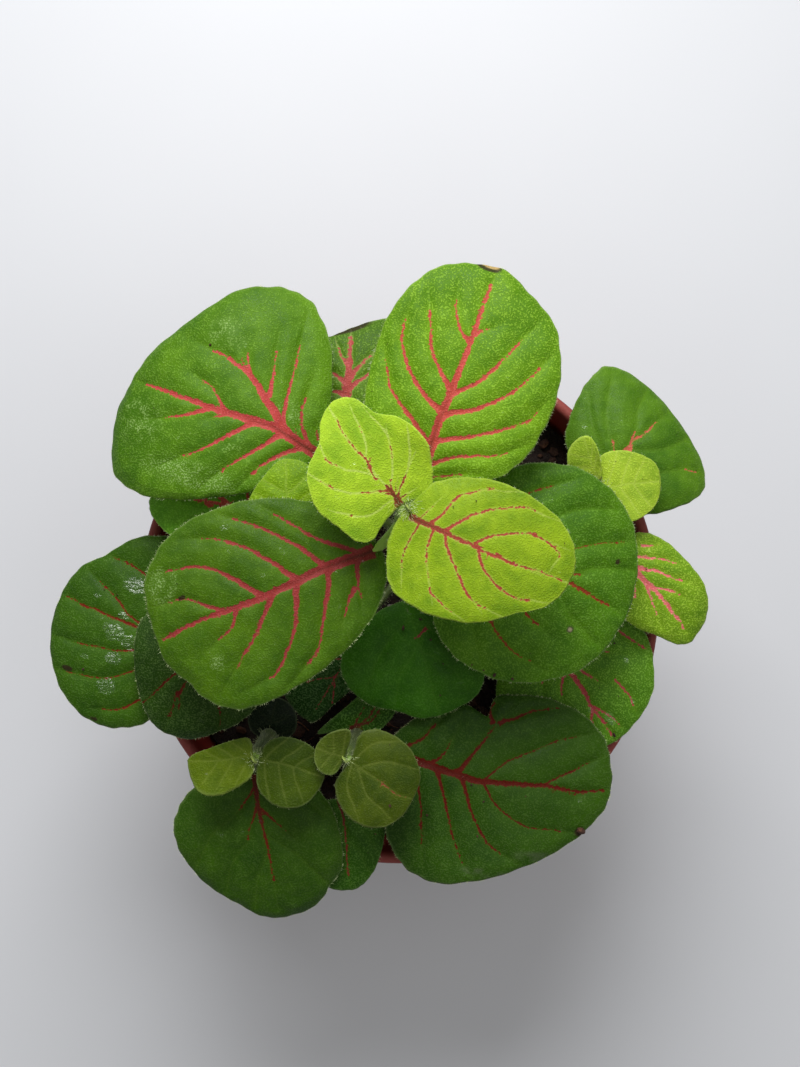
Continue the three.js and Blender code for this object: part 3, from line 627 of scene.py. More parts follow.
southWestTip = {
    "limeLeft": {
        "base": (-23.8, -24, 86), "heading": -174, "length": 10.8, "left": 5.1, "right": 2.8,
        "bulges": [(75, 25, 0.05), (-60, 30, -0.15)],
        "leftEgg": 0.4, "rightEgg": -0.3, "blunt": 0.2, "lobe": 3, "pitch": 18, "droop": 30,
        "cup": 0.05, "wave": 0.25, "green": (77, 101, 5), "red": (140, 70, 40), "pairs": 3,
        "grain": 0.2, "pale": 0.1, "fringe": 0.4,
    },
    "limeRight": {
        "base": (-22.8, -24.6, 86), "heading": -16, "length": 11.2, "left": 4.8, "right": 6.6,
        "rightEgg": 0.1, "lobe": 1.5, "pitch": 12, "droop": 28, "cup": 0, "wave": 0.25,
        "green": (52, 74, 1), "red": (130, 70, 40), "pairs": 3, "grain": 0.2, "pale": 0.1, "fringe": 0.4,
    },
}

leafyStems = {
    "main": {
        "path": [(3, 8), (2.2, 9, 74), (1, 13, 90), (0.7, 15, 99)],
        "crownHairs": 240, "budShift": (0.9, 0.2, 0.2),
        "leaves": mainLeaves,
        "tip": mainTip,
    },
    "northEast": {
        "path": [(28, 15), (31, 17.5, 70), (33, 19.2, 78)],
        "leaves": northEastLeaves,
        "tip": northEastTip,
    },
    "east": {
        "path": [(18, 4), (19, 1.5, 70.5)],
        "leaves": eastLeaves,
        "tip": {},
    },
    "northWest": {
        "path": [(-13, 9), (-15, 10, 74), (-17, 11, 88.5)],
        "leaves": northWestLeaves,
        "tip": northWestTip,
    },
    "west": {
        "path": [(-25, -4), (-28.5, -4, 75.5)],
        "leaves": westLeaves,
        "tip": {},
    },
    "south": {
        "path": [(-6, -20), (-7, -22, 72), (-8.4, -24, 82)],
        "leaves": southLeaves,
        "tip": southTip,
    },
    "southWest": {
        "path": [(-21, -21), (-22.5, -23, 74), (-23.3, -24.2, 82)],
        "leaves": southWestLeaves,
        "tip": southWestTip,
    },
}

bladeLook = {
    "cell": 0.3,             # size of a mesh cell
    "fewestCells": 20,
    "thickness": 0.5,
    "rimThickness": 0.4,     # share of the thickness left at the edge
    "rimReach": 1.5,         # how far in from the edge the blade is thinner
    "groove": 0.3,           # depth of the veins
    "grooveReach": 0.6,
    "puff": 0.42,            # how far the blade swells between them
    "puffReach": 2.0,
    "pucker": 0.16,          # height of the uneven swellings
    "puckerTurns": 0.42,     # how many of those in a millimetre
    "smallLeaf": 24,         # below this length the relief shrinks with the leaf
    "rimDrop": 0.4,          # how far the edge rolls down
    "rimDropReach": 0.9,
    "ragged": 0.0035,        # unevenness of the outline, as a share of the radius
    "veinLayers": 4,         # neighbouring veins are kept in separate layers
    "veinBand": 0.9,         # how far beside a vein its width is stored
    "rootReach": 1.9,        # a side vein that starts this near the midrib is led into it
    "taper": 0.8,            # share of its width that a vein loses towards its end
    "flare": 0.22,           # extra half width where a side vein leaves the midrib
    "flareReach": 1.1,
    "paleReach": 5.0,        # how far a vein runs on, pale, past its red part
    "paleHalf": 0.17,
    "wander": (0.16, 0.55),  # how far veins leave their smooth course, and turns in a millimetre
    "tintReach": 0.45,       # how far beside a vein the green is lighter
    "marginHairs": 3.4,      # hairs for each mm of edge
    "hairLength": (0.2, 0.5),
    "hairRadius": 0.022,
}


def bulged(leaf, along, across):
    # places where the outline leaves the plain disc, and its fine unevenness
    angle = np.arctan2(across, along)
    inward = along**2 + across**2
    growth = np.ones_like(inward)
    for place, spread, share in leaf["bulges"]:
        away = (np.degrees(angle) - place + 180) % 360 - 180
        growth = growth + share * inward * np.exp(-(away / spread)**2)
    turn = leaf["heading"] + leaf["phase"]
    uneven = np.sin(9 * angle + turn) + np.sin(17 * angle + 2 * turn) + np.sin(31 * angle - turn)
    growth = growth + bladeLook["ragged"] * inward**3 * uneven
    return along * growth, across * growth


def bendBlade(leaf, along, across):
    # the bent disc of the part's source: flat place on the leaf, and where that is in space
    along, across = bulged(leaf, along, across)
    isLeft = across >= 0
    half = np.where(isLeft, leaf["left"], leaf["right"])
    egg = np.where(isLeft, leaf["leftEgg"], leaf["rightEgg"])
    reach = leaf["length"] * (along + 1) / 2 - leaf["lobe"] * across**2 * (1 - along) / 2
    side = across * half * (1 + egg * along) * (1 + leaf["blunt"] * along**2)
    ripple = math.pi * leaf["waves"] * (along + 1) / 2 + leaf["phase"] + np.where(isLeft, 0, 2)
    lift = leaf["cup"] * side**2 / half + leaf["wave"] * across**2 * np.sin(ripple)
    return reach, side, bendFlat(leaf, reach, side, lift)


def bendFlat(leaf, reach, side, lift):
    pitch = math.radians(leaf["pitch"])
    bend = math.radians(leaf["droop"]) / leaf["length"]
    slope = pitch - bend * reach
    forward = (math.sin(pitch) - np.sin(slope)) / bend - lift * np.sin(slope)
    up = (np.cos(slope) - math.cos(pitch)) / bend + lift * np.cos(slope)
    heading = math.radians(leaf["heading"])
    x = leaf["base"][0] + forward * math.cos(heading) - side * math.sin(heading)
    y = leaf["base"][1] + forward * math.sin(heading) + side * math.cos(heading)
    return np.stack([x, y, leaf["base"][2] + up], axis=-1)


def bladeNormals(leaf, along, across):
    step = 0.02
    ahead = bendBlade(leaf, along + step, across)[2] - bendBlade(leaf, along - step, across)[2]
    aside = bendBlade(leaf, along, across + step)[2] - bendBlade(leaf, along, across - step)[2]
    return unit(np.cross(ahead, aside))


def unit(vectors):
    return vectors / np.linalg.norm(vectors, axis=-1, keepdims=True)


def smoothPath(points, perSpan):
    # a curve through the points, evenly stepped
    points = np.asarray(points, dtype=float)
    ends = np.vstack([2 * points[0] - points[1], points, 2 * points[-1] - points[-2]])
    steps = np.linspace(0, 1, perSpan, endpoint=False)[:, None]
    spans = []
    for index in range(len(points) - 1):
        a, b, c, d = ends[index:index + 4]
        spans.append(b + (c - a) / 2 * steps + (a - 2.5 * b + 2 * c - d / 2) * steps**2
                     + ((d - a) / 2 + 1.5 * (b - c)) * steps**3)
    return np.vstack(spans + [points[-1:]])


def evenPath(points, count):
    # the same curve as places that lie equally far apart
    fine = smoothPath(points, 16)
    run = np.concatenate([[0], np.cumsum(np.linalg.norm(np.diff(fine, axis=0), axis=1))])
    wanted = np.linspace(0, run[-1], count)
    return np.stack([np.interp(wanted, run, fine[:, axis]) for axis in range(3)], axis=-1)


def ruledVeins(leaf):
    # veins of a leaf whose own can't be seen: pairs that leave the midrib and sweep forward
    length = leaf["length"]
    pairs = leaf["pairs"]
    red = leaf["redShare"]
    veins = [(red, [(0, 0), (length * 0.5, 0.2), (length * 0.88, 0)])]
    for index in range(pairs):
        start = length * (0.08 + 0.66 * index / pairs)
        for half in (leaf["left"], -leaf["right"]):
            spread = half * (0.78 - 0.35 * index / pairs)
            turn = (start + length * 0.07, spread * 0.42)
            veins.append((red * 0.5, [(start, 0), turn, (start + length * 0.2, spread)]))
    return veins


def fromMidrib(points, midrib):
    # a side vein that starts close beside the midrib is led back into it
    x, y = points[0]
    gap = abs(y - np.interp(x, *zip(*midrib)))
    if gap > bladeLook["rootReach"]:
        return points
    back = x - 0.8 * gap
    return [(back, np.interp(back, *zip(*midrib))), *points]


def besideSpan(flat, start, span):
    # how far each place lies to the left of a span (below 0: to its right), and where along it
    offset = flat - start
    share = (offset @ span) / (span @ span)
    held = np.clip(share, 0, 1)
    away = np.linalg.norm(offset - held[:, None] * span, axis=1)
    side = np.sign(span[0] * offset[:, 1] - span[1] * offset[:, 0])
    return away, side, held, share < 0


def veinFields(leaf, flat):
    # for each place and layer: signed distance to the nearest vein, its red half width and its
    # pale one; and over all layers the distance to a vein and how far along that vein it is
    look = bladeLook
    veins = leaf["veins"] or ruledVeins(leaf)
    layers = look["veinLayers"]
    best = np.full((layers, len(flat)), 1e9)
    signed = np.full((layers, len(flat)), 9.0)
    halfWidth = np.full((layers, len(flat)), -1.0)
    paleHalf = np.full((layers, len(flat)), -1.0)
    nearest = np.full(len(flat), 1e9)
    fray = np.zeros(len(flat))
    closest = np.full(len(flat), 1e9)
    wander, turns = look["wander"]
    drift = [noise.noise_vector(Vector((x * turns, y * turns, leaf["heading"])))[:2] for x, y in flat]
    flat = flat + wander * np.array(drift)
    for order, (startHalf, points) in enumerate(veins):
        layer = 0 if order == 0 else 1 + (order - 1) % (layers - 1)
        path = smoothPath(fromMidrib(points, veins[0][1]) if order else points, 6)
        lengths = np.linalg.norm(np.diff(path, axis=0), axis=1)
        total = lengths.sum()
        direction = unit(path[-1] - path[-3])
        pale = min(look["paleReach"], 0.4 * total)
        path = np.vstack([path, path[-1] + direction * pale])
        run = np.concatenate([[0], np.cumsum(lengths), [total + pale]])
        for index in range(len(path) - 1):
            away, side, share, isBefore = besideSpan(flat, path[index], path[index + 1] - path[index])
            isBehind = isBefore & (index == 0)
            done = run[index] + share * (run[index + 1] - run[index])
            half = startHalf * (1 - look["taper"] * np.clip(done / total, 0, 1)**0.8)
            if order and startHalf > 0.3:
                half = half + look["flare"] * np.exp(-(done / look["flareReach"])**2)
            half = np.where((done > total) | isBehind | (startHalf == 0), -1.0, half)
            fade = np.clip((done - total) / pale, 0, 1)
            paleNow = np.where(isBehind, -1, (np.maximum(half, 0) + look["paleHalf"]) * (1 - 0.6 * fade))
            closer = away < best[layer]
            found = ((signed, away * side), (halfWidth, half), (paleHalf, paleNow), (best, away))
            for field, values in found:
                field[layer] = np.where(closer, values, field[layer])
            fray = np.where(away < closest, np.clip(done / total, 0, 1), fray)
            closest = np.minimum(closest, away)
            nearest = np.minimum(nearest, away + fade * 0.8)
    far = best > np.maximum(halfWidth, 0) + look["veinBand"]
    halfWidth = np.where(far, -1.0, halfWidth)
    paleHalf = np.where(far, -1.0, paleHalf)
    return signed, halfWidth, paleHalf, nearest, fray


def addAttribute(mesh, name, values):
    layer = mesh.attributes.new(name, "FLOAT", "POINT")
    layer.data.foreach_set("value", np.asarray(values, dtype=np.float32))


def addColour(mesh, name, colour):
    layer = mesh.attributes.new(name, "FLOAT_COLOR", "POINT")
    layer.data.foreach_set("color", np.tile(np.float32(colour), len(mesh.vertices)))


def patchField(flat, patches):
    field = np.zeros(len(flat))
    for x, y, radiusX, radiusY in patches:
        inside = 1.5 - 1.5 * (((flat[:, 0] - x) / radiusX)**2 + ((flat[:, 1] - y) / radiusY)**2)
        field = np.maximum(field, np.clip(inside, 0, 1))
    return field


def reliefOf(leaf, flat, nearest, edge):
    # height of the surface over the plain blade: grooved veins, swollen between, rolled edge
    look = bladeLook
    size = min(1, leaf["length"] / look["smallLeaf"]) * leaf["relief"]
    swell = look["puff"] * (1 - np.exp(-(nearest / look["puffReach"])**2))
    groove = look["groove"] * np.exp(-(nearest / look["grooveReach"])**2)
    turns = look["puckerTurns"]
    pucker = np.array([noise.noise(Vector((x * turns, y * turns, leaf["heading"]))) for x, y in flat])
    raised = np.clip(edge / 2, 0, 1) * (swell - groove + look["pucker"] * pucker)
    return size * (raised - look["rimDrop"] * np.exp(-edge / look["rimDropReach"]))


def discGrid(name, rows, columns):
    # a square grid, with the place on a disc that belongs to each of its corners
    sheet = bmesh.new()
    bmesh.ops.create_grid(sheet, x_segments=rows, y_segments=columns, size=1)
    mesh = bpy.data.meshes.new(name)
    sheet.to_mesh(mesh)
    sheet.free()
    square = np.empty(len(mesh.vertices) * 3)
    mesh.vertices.foreach_get("co", square)
    u, v = square.reshape(-1, 3)[:, :2].T
    return mesh, u * np.sqrt(1 - v**2 / 2), v * np.sqrt(1 - u**2 / 2)


def makeBlade(name, leaf, finishes):
    look = bladeLook
    width = leaf["left"] + leaf["right"]
    rows, columns = [max(look["fewestCells"], round(size / look["cell"])) for size in (leaf["length"], width)]
    mesh, along, across = discGrid(name, rows, columns)
    reach, side, middle = bendBlade(leaf, along, across)
    flat = np.stack([reach, side], axis=-1)
    signed, halfWidth, paleHalf, nearest, fray = veinFields(leaf, flat)
    edge = (1 - np.sqrt(along**2 + across**2)) * width / 2
    lift = look["thickness"] / 2 + reliefOf(leaf, flat, nearest, edge)
    points = middle + bladeNormals(leaf, along, across) * lift[:, None]
    mesh.vertices.foreach_set("co", (points * mm).ravel())
    fields = {
        "fray": fray,
        "groove": np.exp(-(nearest / look["tintReach"])**2),
        "edge": edge,
        "reach": reach / leaf["length"],
        "wet": patchField(flat, [(x, y, size, size * 0.7) for x, y, size in leaf["wet"]]),
    }
    for key in ("pale", "grain", "fade"):
        fields[key] = np.full(len(flat), leaf[key])
    for kind in ("tan", "brown", "ring", "grey", "haze"):
        fields[kind] = patchField(flat, [scar[:4] for scar in leaf["scars"] if scar[4] == kind])
    for layer in range(look["veinLayers"]):
        fields[f"veinDistance{layer}"] = signed[layer]
        fields[f"veinHalf{layer}"] = halfWidth[layer]
        fields[f"paleHalf{layer}"] = paleHalf[layer]
    for key, values in fields.items():
        addAttribute(mesh, key, values)
    addColour(mesh, "bladeColour", tint(*leaf["green"]))
    addColour(mesh, "veinColour", tint(*leaf["red"]))
    mesh.materials.append(finishes["leafTop"])
    mesh.materials.append(finishes["leafUnder"])
    blade = bpy.data.objects.new(name, mesh)
    bpy.context.scene.collection.objects.link(blade)
    thick = blade.vertex_groups.new(name="thick")
    for index, share in enumerate(np.clip(edge / look["rimReach"], 0, 1)):
        thick.add([index], float(share), "REPLACE")
    solidify = blade.modifiers.new("solidify", "SOLIDIFY")
    solidify.thickness = look["thickness"] * mm
    solidify.offset = -1
    solidify.vertex_group = "thick"
    solidify.thickness_vertex_group = look["rimThickness"]
    solidify.material_offset = 1
    applyModifiers(blade)
    return blade


def applyModifiers(piece):
    depsgraph = bpy.context.evaluated_depsgraph_get()
    baked = bpy.data.meshes.new_from_object(piece.evaluated_get(depsgraph))
    piece.modifiers.clear()
    piece.vertex_groups.clear()
    piece.data = baked
    baked.shade_smooth()


def pieceFrom(made, name, finish):
    mesh = bpy.data.meshes.new(name)
    made.to_mesh(mesh)
    made.free()
    mesh.materials.append(finish)
    piece = bpy.data.objects.new(name, mesh)
    bpy.context.scene.collection.objects.link(piece)
    return piece


def joined(name, parts):
    first = parts[0]
    with bpy.context.temp_override(active_object=first, object=first, selected_objects=parts,
                                   selected_editable_objects=parts):
        bpy.ops.object.join()
    first.name = name
    first.data.name = name
    return first


def claim(piece, node):
    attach(piece, "root")
    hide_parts(node)


def addHair(hairs, root, direction, length, radius):
    # one short cone
    turn = Vector((0, 0, 1)).rotation_difference(Vector(direction)).to_matrix().to_4x4()
    place = Matrix.Translation(Vector(root) + Vector(direction) * length / 2) @ turn
    matrix = Matrix.Scale(mm, 4) @ place
    bmesh.ops.create_cone(hairs, cap_ends=False, segments=3, radius1=radius, radius2=radius * 0.15,
                          depth=length, matrix=matrix)


def marginHairs(hairs, leaf):
    look = bladeLook
    around = math.pi * (leaf["length"] + leaf["left"] + leaf["right"]) / 2
    angles = rng.uniform(0, fullTurn, int(around * look["marginHairs"] * leaf["fringe"]))
    outer = bendBlade(leaf, np.cos(angles), np.sin(angles))[2]
    inner = bendBlade(leaf, 0.9 * np.cos(angles), 0.9 * np.sin(angles))[2]
    for tip, root in zip(outer, inner):
        outward = unit(unit(tip - root) + rng.normal(0, 0.35, 3))
        addHair(hairs, tip - outward * 0.1, outward, rng.uniform(*look["hairLength"]), look["hairRadius"])


def stalkHairs(hairs, path, radii, perMm, longest):
    for start, end, radius in zip(path, path[1:], radii):
        span = end - start
        for _ in range(rng.poisson(np.linalg.norm(span) * perMm)):
            centre = start + rng.uniform() * span
            outward = unit(np.cross(span, rng.normal(0, 1, 3)))
            lean = unit(outward + rng.normal(0, 0.25, 3))
            root = centre + outward * radius * 0.93
            length = rng.uniform(stalkLook["shortestHair"], longest)
            addHair(hairs, root, lean, length, bladeLook["hairRadius"])


stalkLook = {
    "stemRadius": (1.6, 1.25),
    "rootDepth": 11,
    "soilTop": 58.5,
    "knot": 0.16,            # how much a stem swells where stalks leave it
    "knotReach": 0.03,
    "petioleRadius": (0.95, 0.35),
    "fullLeaf": 16,          # below this length a leaf's stalk is thinner
    "bow": (0.08, 0.62),     # how far out and up the middle of the stalk is, from its middle and start
    "ribStart": -0.93,       # where the stalk meets the blade and ends under it, -1 to 1 along
    "ribReach": -0.1,
    "stemHairs": 12,         # for each mm
    "petioleHairs": 9,
    "shortestHair": 0.4,
    "stemHair": 1.0,
    "petioleHair": 0.9,
}

crownLook = {
    "rise": 3.5,             # height of the crown over the top of the stem
    "hairs": 70,
    "hairLength": (0.4, 0.9),
    "hairWidth": 1.4,        # times that of a hair on a leaf
    "reach": 2.0,            # how far around the crown the long hairs stand
    "lift": 1.3,
    "budTurns": (35, 215),
    "budSink": 0.8,
    "bud": {
        "length": 3.0, "left": 0.8, "right": 0.8, "lobe": 0, "pitch": 78, "droop": -20, "cup": 0.3,
        "wave": 0, "green": (124, 150, 60), "pairs": 2,
    },
}


def stemPath(plan, count=60):
    x, y = plan["path"][0]
    top = stalkLook["soilTop"]
    depth = stalkLook["rootDepth"]
    corners = [(x, y, top - depth), (x, y, top - depth / 2), (x, y, top + 1), *plan["path"][1:]]
    return evenPath(corners, count)


def makeStalk(name, path, radii, finish):
    # a round stalk along a path
    curve = bpy.data.curves.new(name, "CURVE")
    curve.dimensions = "3D"
    curve.bevel_depth = 1.0
    curve.bevel_resolution = 3
    curve.use_fill_caps = True
    spline = curve.splines.new("POLY")
    spline.points.add(len(path) - 1)
    for point, place, radius in zip(spline.points, path, radii):
        point.co = (*(place * mm), 1)
        point.radius = radius * mm
    holder = bpy.data.objects.new(name, curve)
    bpy.context.scene.collection.objects.link(holder)
    depsgraph = bpy.context.evaluated_depsgraph_get()
    mesh = bpy.data.meshes.new_from_object(holder.evaluated_get(depsgraph))
    bpy.data.objects.remove(holder)
    mesh.materials.clear()
    mesh.materials.append(finish)
    mesh.shade_smooth()
    stalk = bpy.data.objects.new(name, mesh)
    bpy.context.scene.collection.objects.link(stalk)
    return stalk


def petiolePath(leaf, start):
    # from the stem to the blade, then along under its middle
    look = stalkLook
    startRadius, endRadius = look["petioleRadius"]
    scale = min(1, leaf["length"] / look["fullLeaf"])
    middle = np.array(0.0)
    meet = bendBlade(leaf, np.array(-1.0), middle)[2]
    bow = (start + meet) / 2
    out, up = look["bow"]
    bow[2] = start[2] + (meet[2] - start[2]) * up
    bow[:2] += (meet[:2] - start[:2]) * out

    def sunk(along, radius):
        # a place under the middle of the blade, so deep that the stalk just shows below it
        place = bendBlade(leaf, np.array(along), middle)[2]
        return place - bladeNormals(leaf, np.array(along), middle) * (0.3 + 0.7 * radius * scale)

    ribMiddle = (look["ribStart"] + look["ribReach"]) / 2
    middleRadius = startRadius + (endRadius - startRadius) * 0.75
    corners = [start, bow, sunk(look["ribStart"], startRadius * 0.7), sunk(ribMiddle, middleRadius),
               sunk(look["ribReach"], endRadius)]
    path = evenPath(corners, 26)
    return path, np.linspace(startRadius, endRadius, len(path)) * scale


def crownHairs(hairs, crown, count):
    # long pale hairs that hide the young bud
    look = crownLook
    for _ in range(count):
        outward = rng.normal(0, 1, 3)
        outward[2] = abs(outward[2]) * 0.8
        outward = unit(outward)
        reach = look["reach"] * rng.uniform(0.1, 1) * outward * (1, 1, 0.3)
        lean = unit(outward + rng.normal(0, 0.5, 3))
        root = crown + reach + (0, 0, look["lift"] * rng.uniform())
        radius = look["hairWidth"] * bladeLook["hairRadius"]
        addHair(hairs, root, lean, rng.uniform(*look["hairLength"]), radius)


def makeGreenery(name, leaves, starts, stem, finishes, node, bud=None, budHairs=0):
    # the blades of one node, each a piece, and one more piece of its stalks and hairs
    look = stalkLook
    stalks = []
    hairs = bmesh.new()
    for key, given in leaves.items():
        leaf = {**plainLeaf, **given}
        claim(makeBlade(f"{name}_{key}", leaf, finishes), node)
        path, radii = petiolePath(leaf, starts(leaf["joint"]))
        stalks.append(makeStalk(f"{name}_{key}_stalk", path, radii, finishes["stalk"]))
        stalkHairs(hairs, path[:16], radii, look["petioleHairs"], look["petioleHair"])
        marginHairs(hairs, leaf)
        addSpecks(leaf)
    path, radii = stem
    stalks.append(makeStalk(f"{name}_stem", path, radii, finishes["stalk"]))
    above = path[:, 2] > look["soilTop"] + 1
    stalkHairs(hairs, path[above], radii[above], look["stemHairs"], look["stemHair"])
    if bud is not None:
        crownHairs(hairs, bud, budHairs)
    stalks.append(pieceFrom(hairs, f"{name}_hairs", finishes["hair"]))
    claim(joined(f"{name}_stalks", stalks), node)


def makeLeafyStem(key, plan, finishes):
    path = stemPath(plan)
    radii = np.linspace(*stalkLook["stemRadius"], len(path))
    run = np.linspace(0, 1, len(path))
    for leaf in plan["leaves"].values():
        away = run - leaf.get("joint", plainLeaf["joint"])
        radii = radii * (1 + stalkLook["knot"] * np.exp(-(away / stalkLook["knotReach"])**2))
    title = key[0].upper() + key[1:]
    node = "".join("_" + letter.lower() if letter.isupper() else letter for letter in key)

    def onStem(share):
        return path[round(share * (len(path) - 1))].copy()

    makeGreenery(f"leafyStem{title}", plan["leaves"], onStem, (path, radii), finishes,
                 f"leafy_stem_{node}")
    if plan["tip"]:
        makeYoungTip(title, node, plan, path, finishes)


def makeYoungTip(title, node, plan, path, finishes):
    # the end of a stem, its lime leaves and the bud between them
    look = crownLook
    direction = unit(path[-1] - path[-2])
    crown = path[-1] + direction * look["rise"]
    tipPath = np.linspace(path[-1] - direction * 0.2, crown, 8)
    topRadius = stalkLook["stemRadius"][1]
    tipRadii = np.linspace(topRadius, topRadius * 0.7, 8)
    bud = crown + plan.get("budShift", (0, 0, 0))
    budBase = bud - (0, 0, look["budSink"])
    tipLeaves = dict(plan["tip"])
    for turn in look["budTurns"]:
        tipLeaves[f"bud{turn}"] = {"base": tuple(budBase), "heading": turn, **look["bud"]}
    makeGreenery(f"youngTip{title}", tipLeaves, lambda share: (tipPath[0] + crown) / 2, (tipPath, tipRadii),
                 finishes, f"young_tip_{node}", bud, plan.get("crownHairs", look["hairs"]))


# peat crumbs that lie on the leaves
specks = bmesh.new()


def addSpecks(leaf):
    for x, y, radius in leaf["specks"]:
        half = leaf["left"] if y >= 0 else leaf["right"]
        place = bendFlat(leaf, np.array(float(x)), np.array(float(y)), leaf["cup"] * y * y / half)
        place[2] += 0.45
        addCrumb(specks, place, radius)


def addCrumb(crumbs, place, radius):
    # a ball that is turned, squeezed and dented
    turn = Matrix.Rotation(rng.uniform(0, fullTurn), 4, Vector(rng.normal(0, 1, 3)).normalized())
    squeeze = Matrix.Diagonal((rng.uniform(0.6, 1.4), rng.uniform(0.6, 1.4), rng.uniform(0.5, 1.1), 1))
    matrix = Matrix.Scale(mm, 4) @ Matrix.Translation(Vector(place)) @ turn @ squeeze
    made = bmesh.ops.create_icosphere(crumbs, subdivisions=1, radius=radius, matrix=matrix)
    centre = Vector(place) * mm
    for vertex in made["verts"]:
        vertex.co = centre + (vertex.co - centre) * rng.uniform(0.75, 1.3)


soilLook = {
    "cells": 150,
    "radius": 41.3,
    "roughness": 0.8,
    "lumps": 0.55,           # height of the small lumps that the source leaves out
    "lumpTurns": 0.45,
    "sides": [(56.4, 40.9), (54.9, 39.6), (1.9, 29.4)],   # (height, radius) down the pot's wall
    "crumbs": 900,
    "grains": 26,
    "grainSize": (0.3, 0.7),
    "fibres": 160,
    "fibreLength": (1.5, 4.5),
    "fibreRadius": (0.05, 0.13),
}


def soilHeight(x, y):
    broad = math.sin(x * 0.21 + 1.3) * math.cos(y * 0.17 - 0.4)
    small = 0.6 * math.sin(x * 0.55 + y * 0.31) + 0.5 * math.cos(y * 0.63 - x * 0.4 + 2)
    base = stalkLook["soilTop"] + soilLook["roughness"] * (broad + 0.6 * small)
    turns = soilLook["lumpTurns"]
    return base + soilLook["lumps"] * noise.fractal(Vector((x * turns, y * turns, 3.1)), 0.7, 2.1, 4)


def makeSoilBody(finish):
    top = bmesh.new()
    cells = soilLook["cells"]
    bmesh.ops.create_grid(top, x_segments=cells, y_segments=cells, size=1)
    for vertex in top.verts:
        u, v = vertex.co.x, vertex.co.y
        x = u * math.sqrt(1 - v * v / 2) * soilLook["radius"]
        y = v * math.sqrt(1 - u * u / 2) * soilLook["radius"]
        vertex.co = Vector((x, y, soilHeight(x, y))) * mm
    rim = [edge for edge in top.edges if edge.is_boundary]
    for height, radius in soilLook["sides"]:
        grown = bmesh.ops.extrude_edge_only(top, edges=rim)["geom"]
        rim = [item for item in grown if isinstance(item, bmesh.types.BMEdge)]
        for vertex in [item for item in grown if isinstance(item, bmesh.types.BMVert)]:
            out = Vector((vertex.co.x, vertex.co.y)).normalized() * radius
            vertex.co = Vector((out.x, out.y, height)) * mm
    bmesh.ops.contextual_create(top, geom=rim)
    bmesh.ops.recalc_face_normals(top, faces=top.faces)
    body = pieceFrom(top, "soilBody", finish)
    body.data.shade_smooth()
    return body


def scattered(count, margin):
    # places on the peat, one after another
    for _ in range(count):
        angle = rng.uniform(0, fullTurn)
        radius = (soilLook["radius"] - margin) * math.sqrt(rng.uniform())
        yield radius * math.cos(angle), radius * math.sin(angle)


def makeFibre(name, x, y, finish):
    heading = rng.uniform(0, fullTurn)
    reach = rng.uniform(*soilLook["fibreLength"])
    corners = []
    for share in (-0.5, 0, 0.5):
        endX = x + share * reach * math.cos(heading) + rng.normal(0, 0.3)
        endY = y + share * reach * math.sin(heading) + rng.normal(0, 0.3)
        corners.append((endX, endY, soilHeight(endX, endY) + rng.uniform(0.1, 0.7)))
    path = smoothPath(corners, 3)
    return makeStalk(name, path, np.full(len(path), rng.uniform(*soilLook["fibreRadius"])), finish)


def makeSoil(finishes):
    body = makeSoilBody(finishes["soil"])
    crumbs = bmesh.new()
    for x, y in scattered(soilLook["crumbs"], 1.2):
        size = min(rng.gamma(2.0, 0.2) + 0.15, 1.3)
        addCrumb(crumbs, (x, y, soilHeight(x, y) + size * 0.35), size)
    grains = bmesh.new()
    for x, y in scattered(soilLook["grains"], 2):
        size = rng.uniform(*soilLook["grainSize"])
        addCrumb(grains, (x, y, soilHeight(x, y) + size * 0.6), size)
    parts = [body]
    parts.append(pieceFrom(crumbs, "soilCrumbs", finishes["crumb"]))
    parts.append(pieceFrom(grains, "soilGrains", finishes["grain"]))
    for index, (x, y) in enumerate(scattered(soilLook["fibres"], 4)):
        parts.append(makeFibre(f"fibre{index}", x, y, finishes["fibre"]))
    claim(joined("peat", parts), "soil")


potLook = {
    "height": 70,
    "rimRadius": 45,
    "baseRadius": 31,
    "bodyTop": 41.6,         # radius of the wall below the collar
    "wall": 1.1,
    "collarHeight": 14,
    "collarStep": 1.6,       # how far the collar stands out
    "lip": [                 # places of the rolled lip, from the rim's radius and the top
        (-0.7, -2.6), (-0.1, -1.9), (0, -1.2), (-0.1, -0.6), (-0.5, -0.1), (-1, 0), (-1.5, -0.15),
        (-2, -0.8),
    ],
    "drainHoles": 8,
    "drainRadius": 2.2,
    "drainRing": 22,
    "drillDepth": 8,
    "drillSides": 24,
    "steps": 144,            # of the wall, once around
    "smoothAngle": 50,
}


def potProfile(look):
    # the half section of the pot, from the middle of its underside around the lip to its inside
    rim, top = look["rimRadius"], look["height"]
    base, body = look["baseRadius"], look["bodyTop"]
    wall, step = look["wall"], look["collarStep"]
    collar = top - look["collarHeight"]
    return [
        (0, 0), (base - 1, 0), (base - 0.3, 0.3), (base, 1),
        (body, collar - 1), (body + step - 0.3, collar - 0.2), (body + step, collar + 0.3),
        *((rim + out, top + up) for out, up in look["lip"]),
        (body - wall + step, collar + 0.6), (body - wall, collar - 1),
        (base - wall, wall + 0.4), (0, wall + 0.4),
    ]


def makeDrills(look, finish):
    drills = bmesh.new()
    radius = look["drainRadius"] * mm
    for hole in range(look["drainHoles"]):
        turn = fullTurn * (hole + 0.5) / look["drainHoles"]
        place = Vector((math.cos(turn), math.sin(turn), 0)) * look["drainRing"] * mm
        bmesh.ops.create_cone(drills, cap_ends=True, segments=look["drillSides"], radius1=radius,
                              radius2=radius, depth=look["drillDepth"] * mm,
                              matrix=Matrix.Translation(place))
    return pieceFrom(drills, "drills", finish)


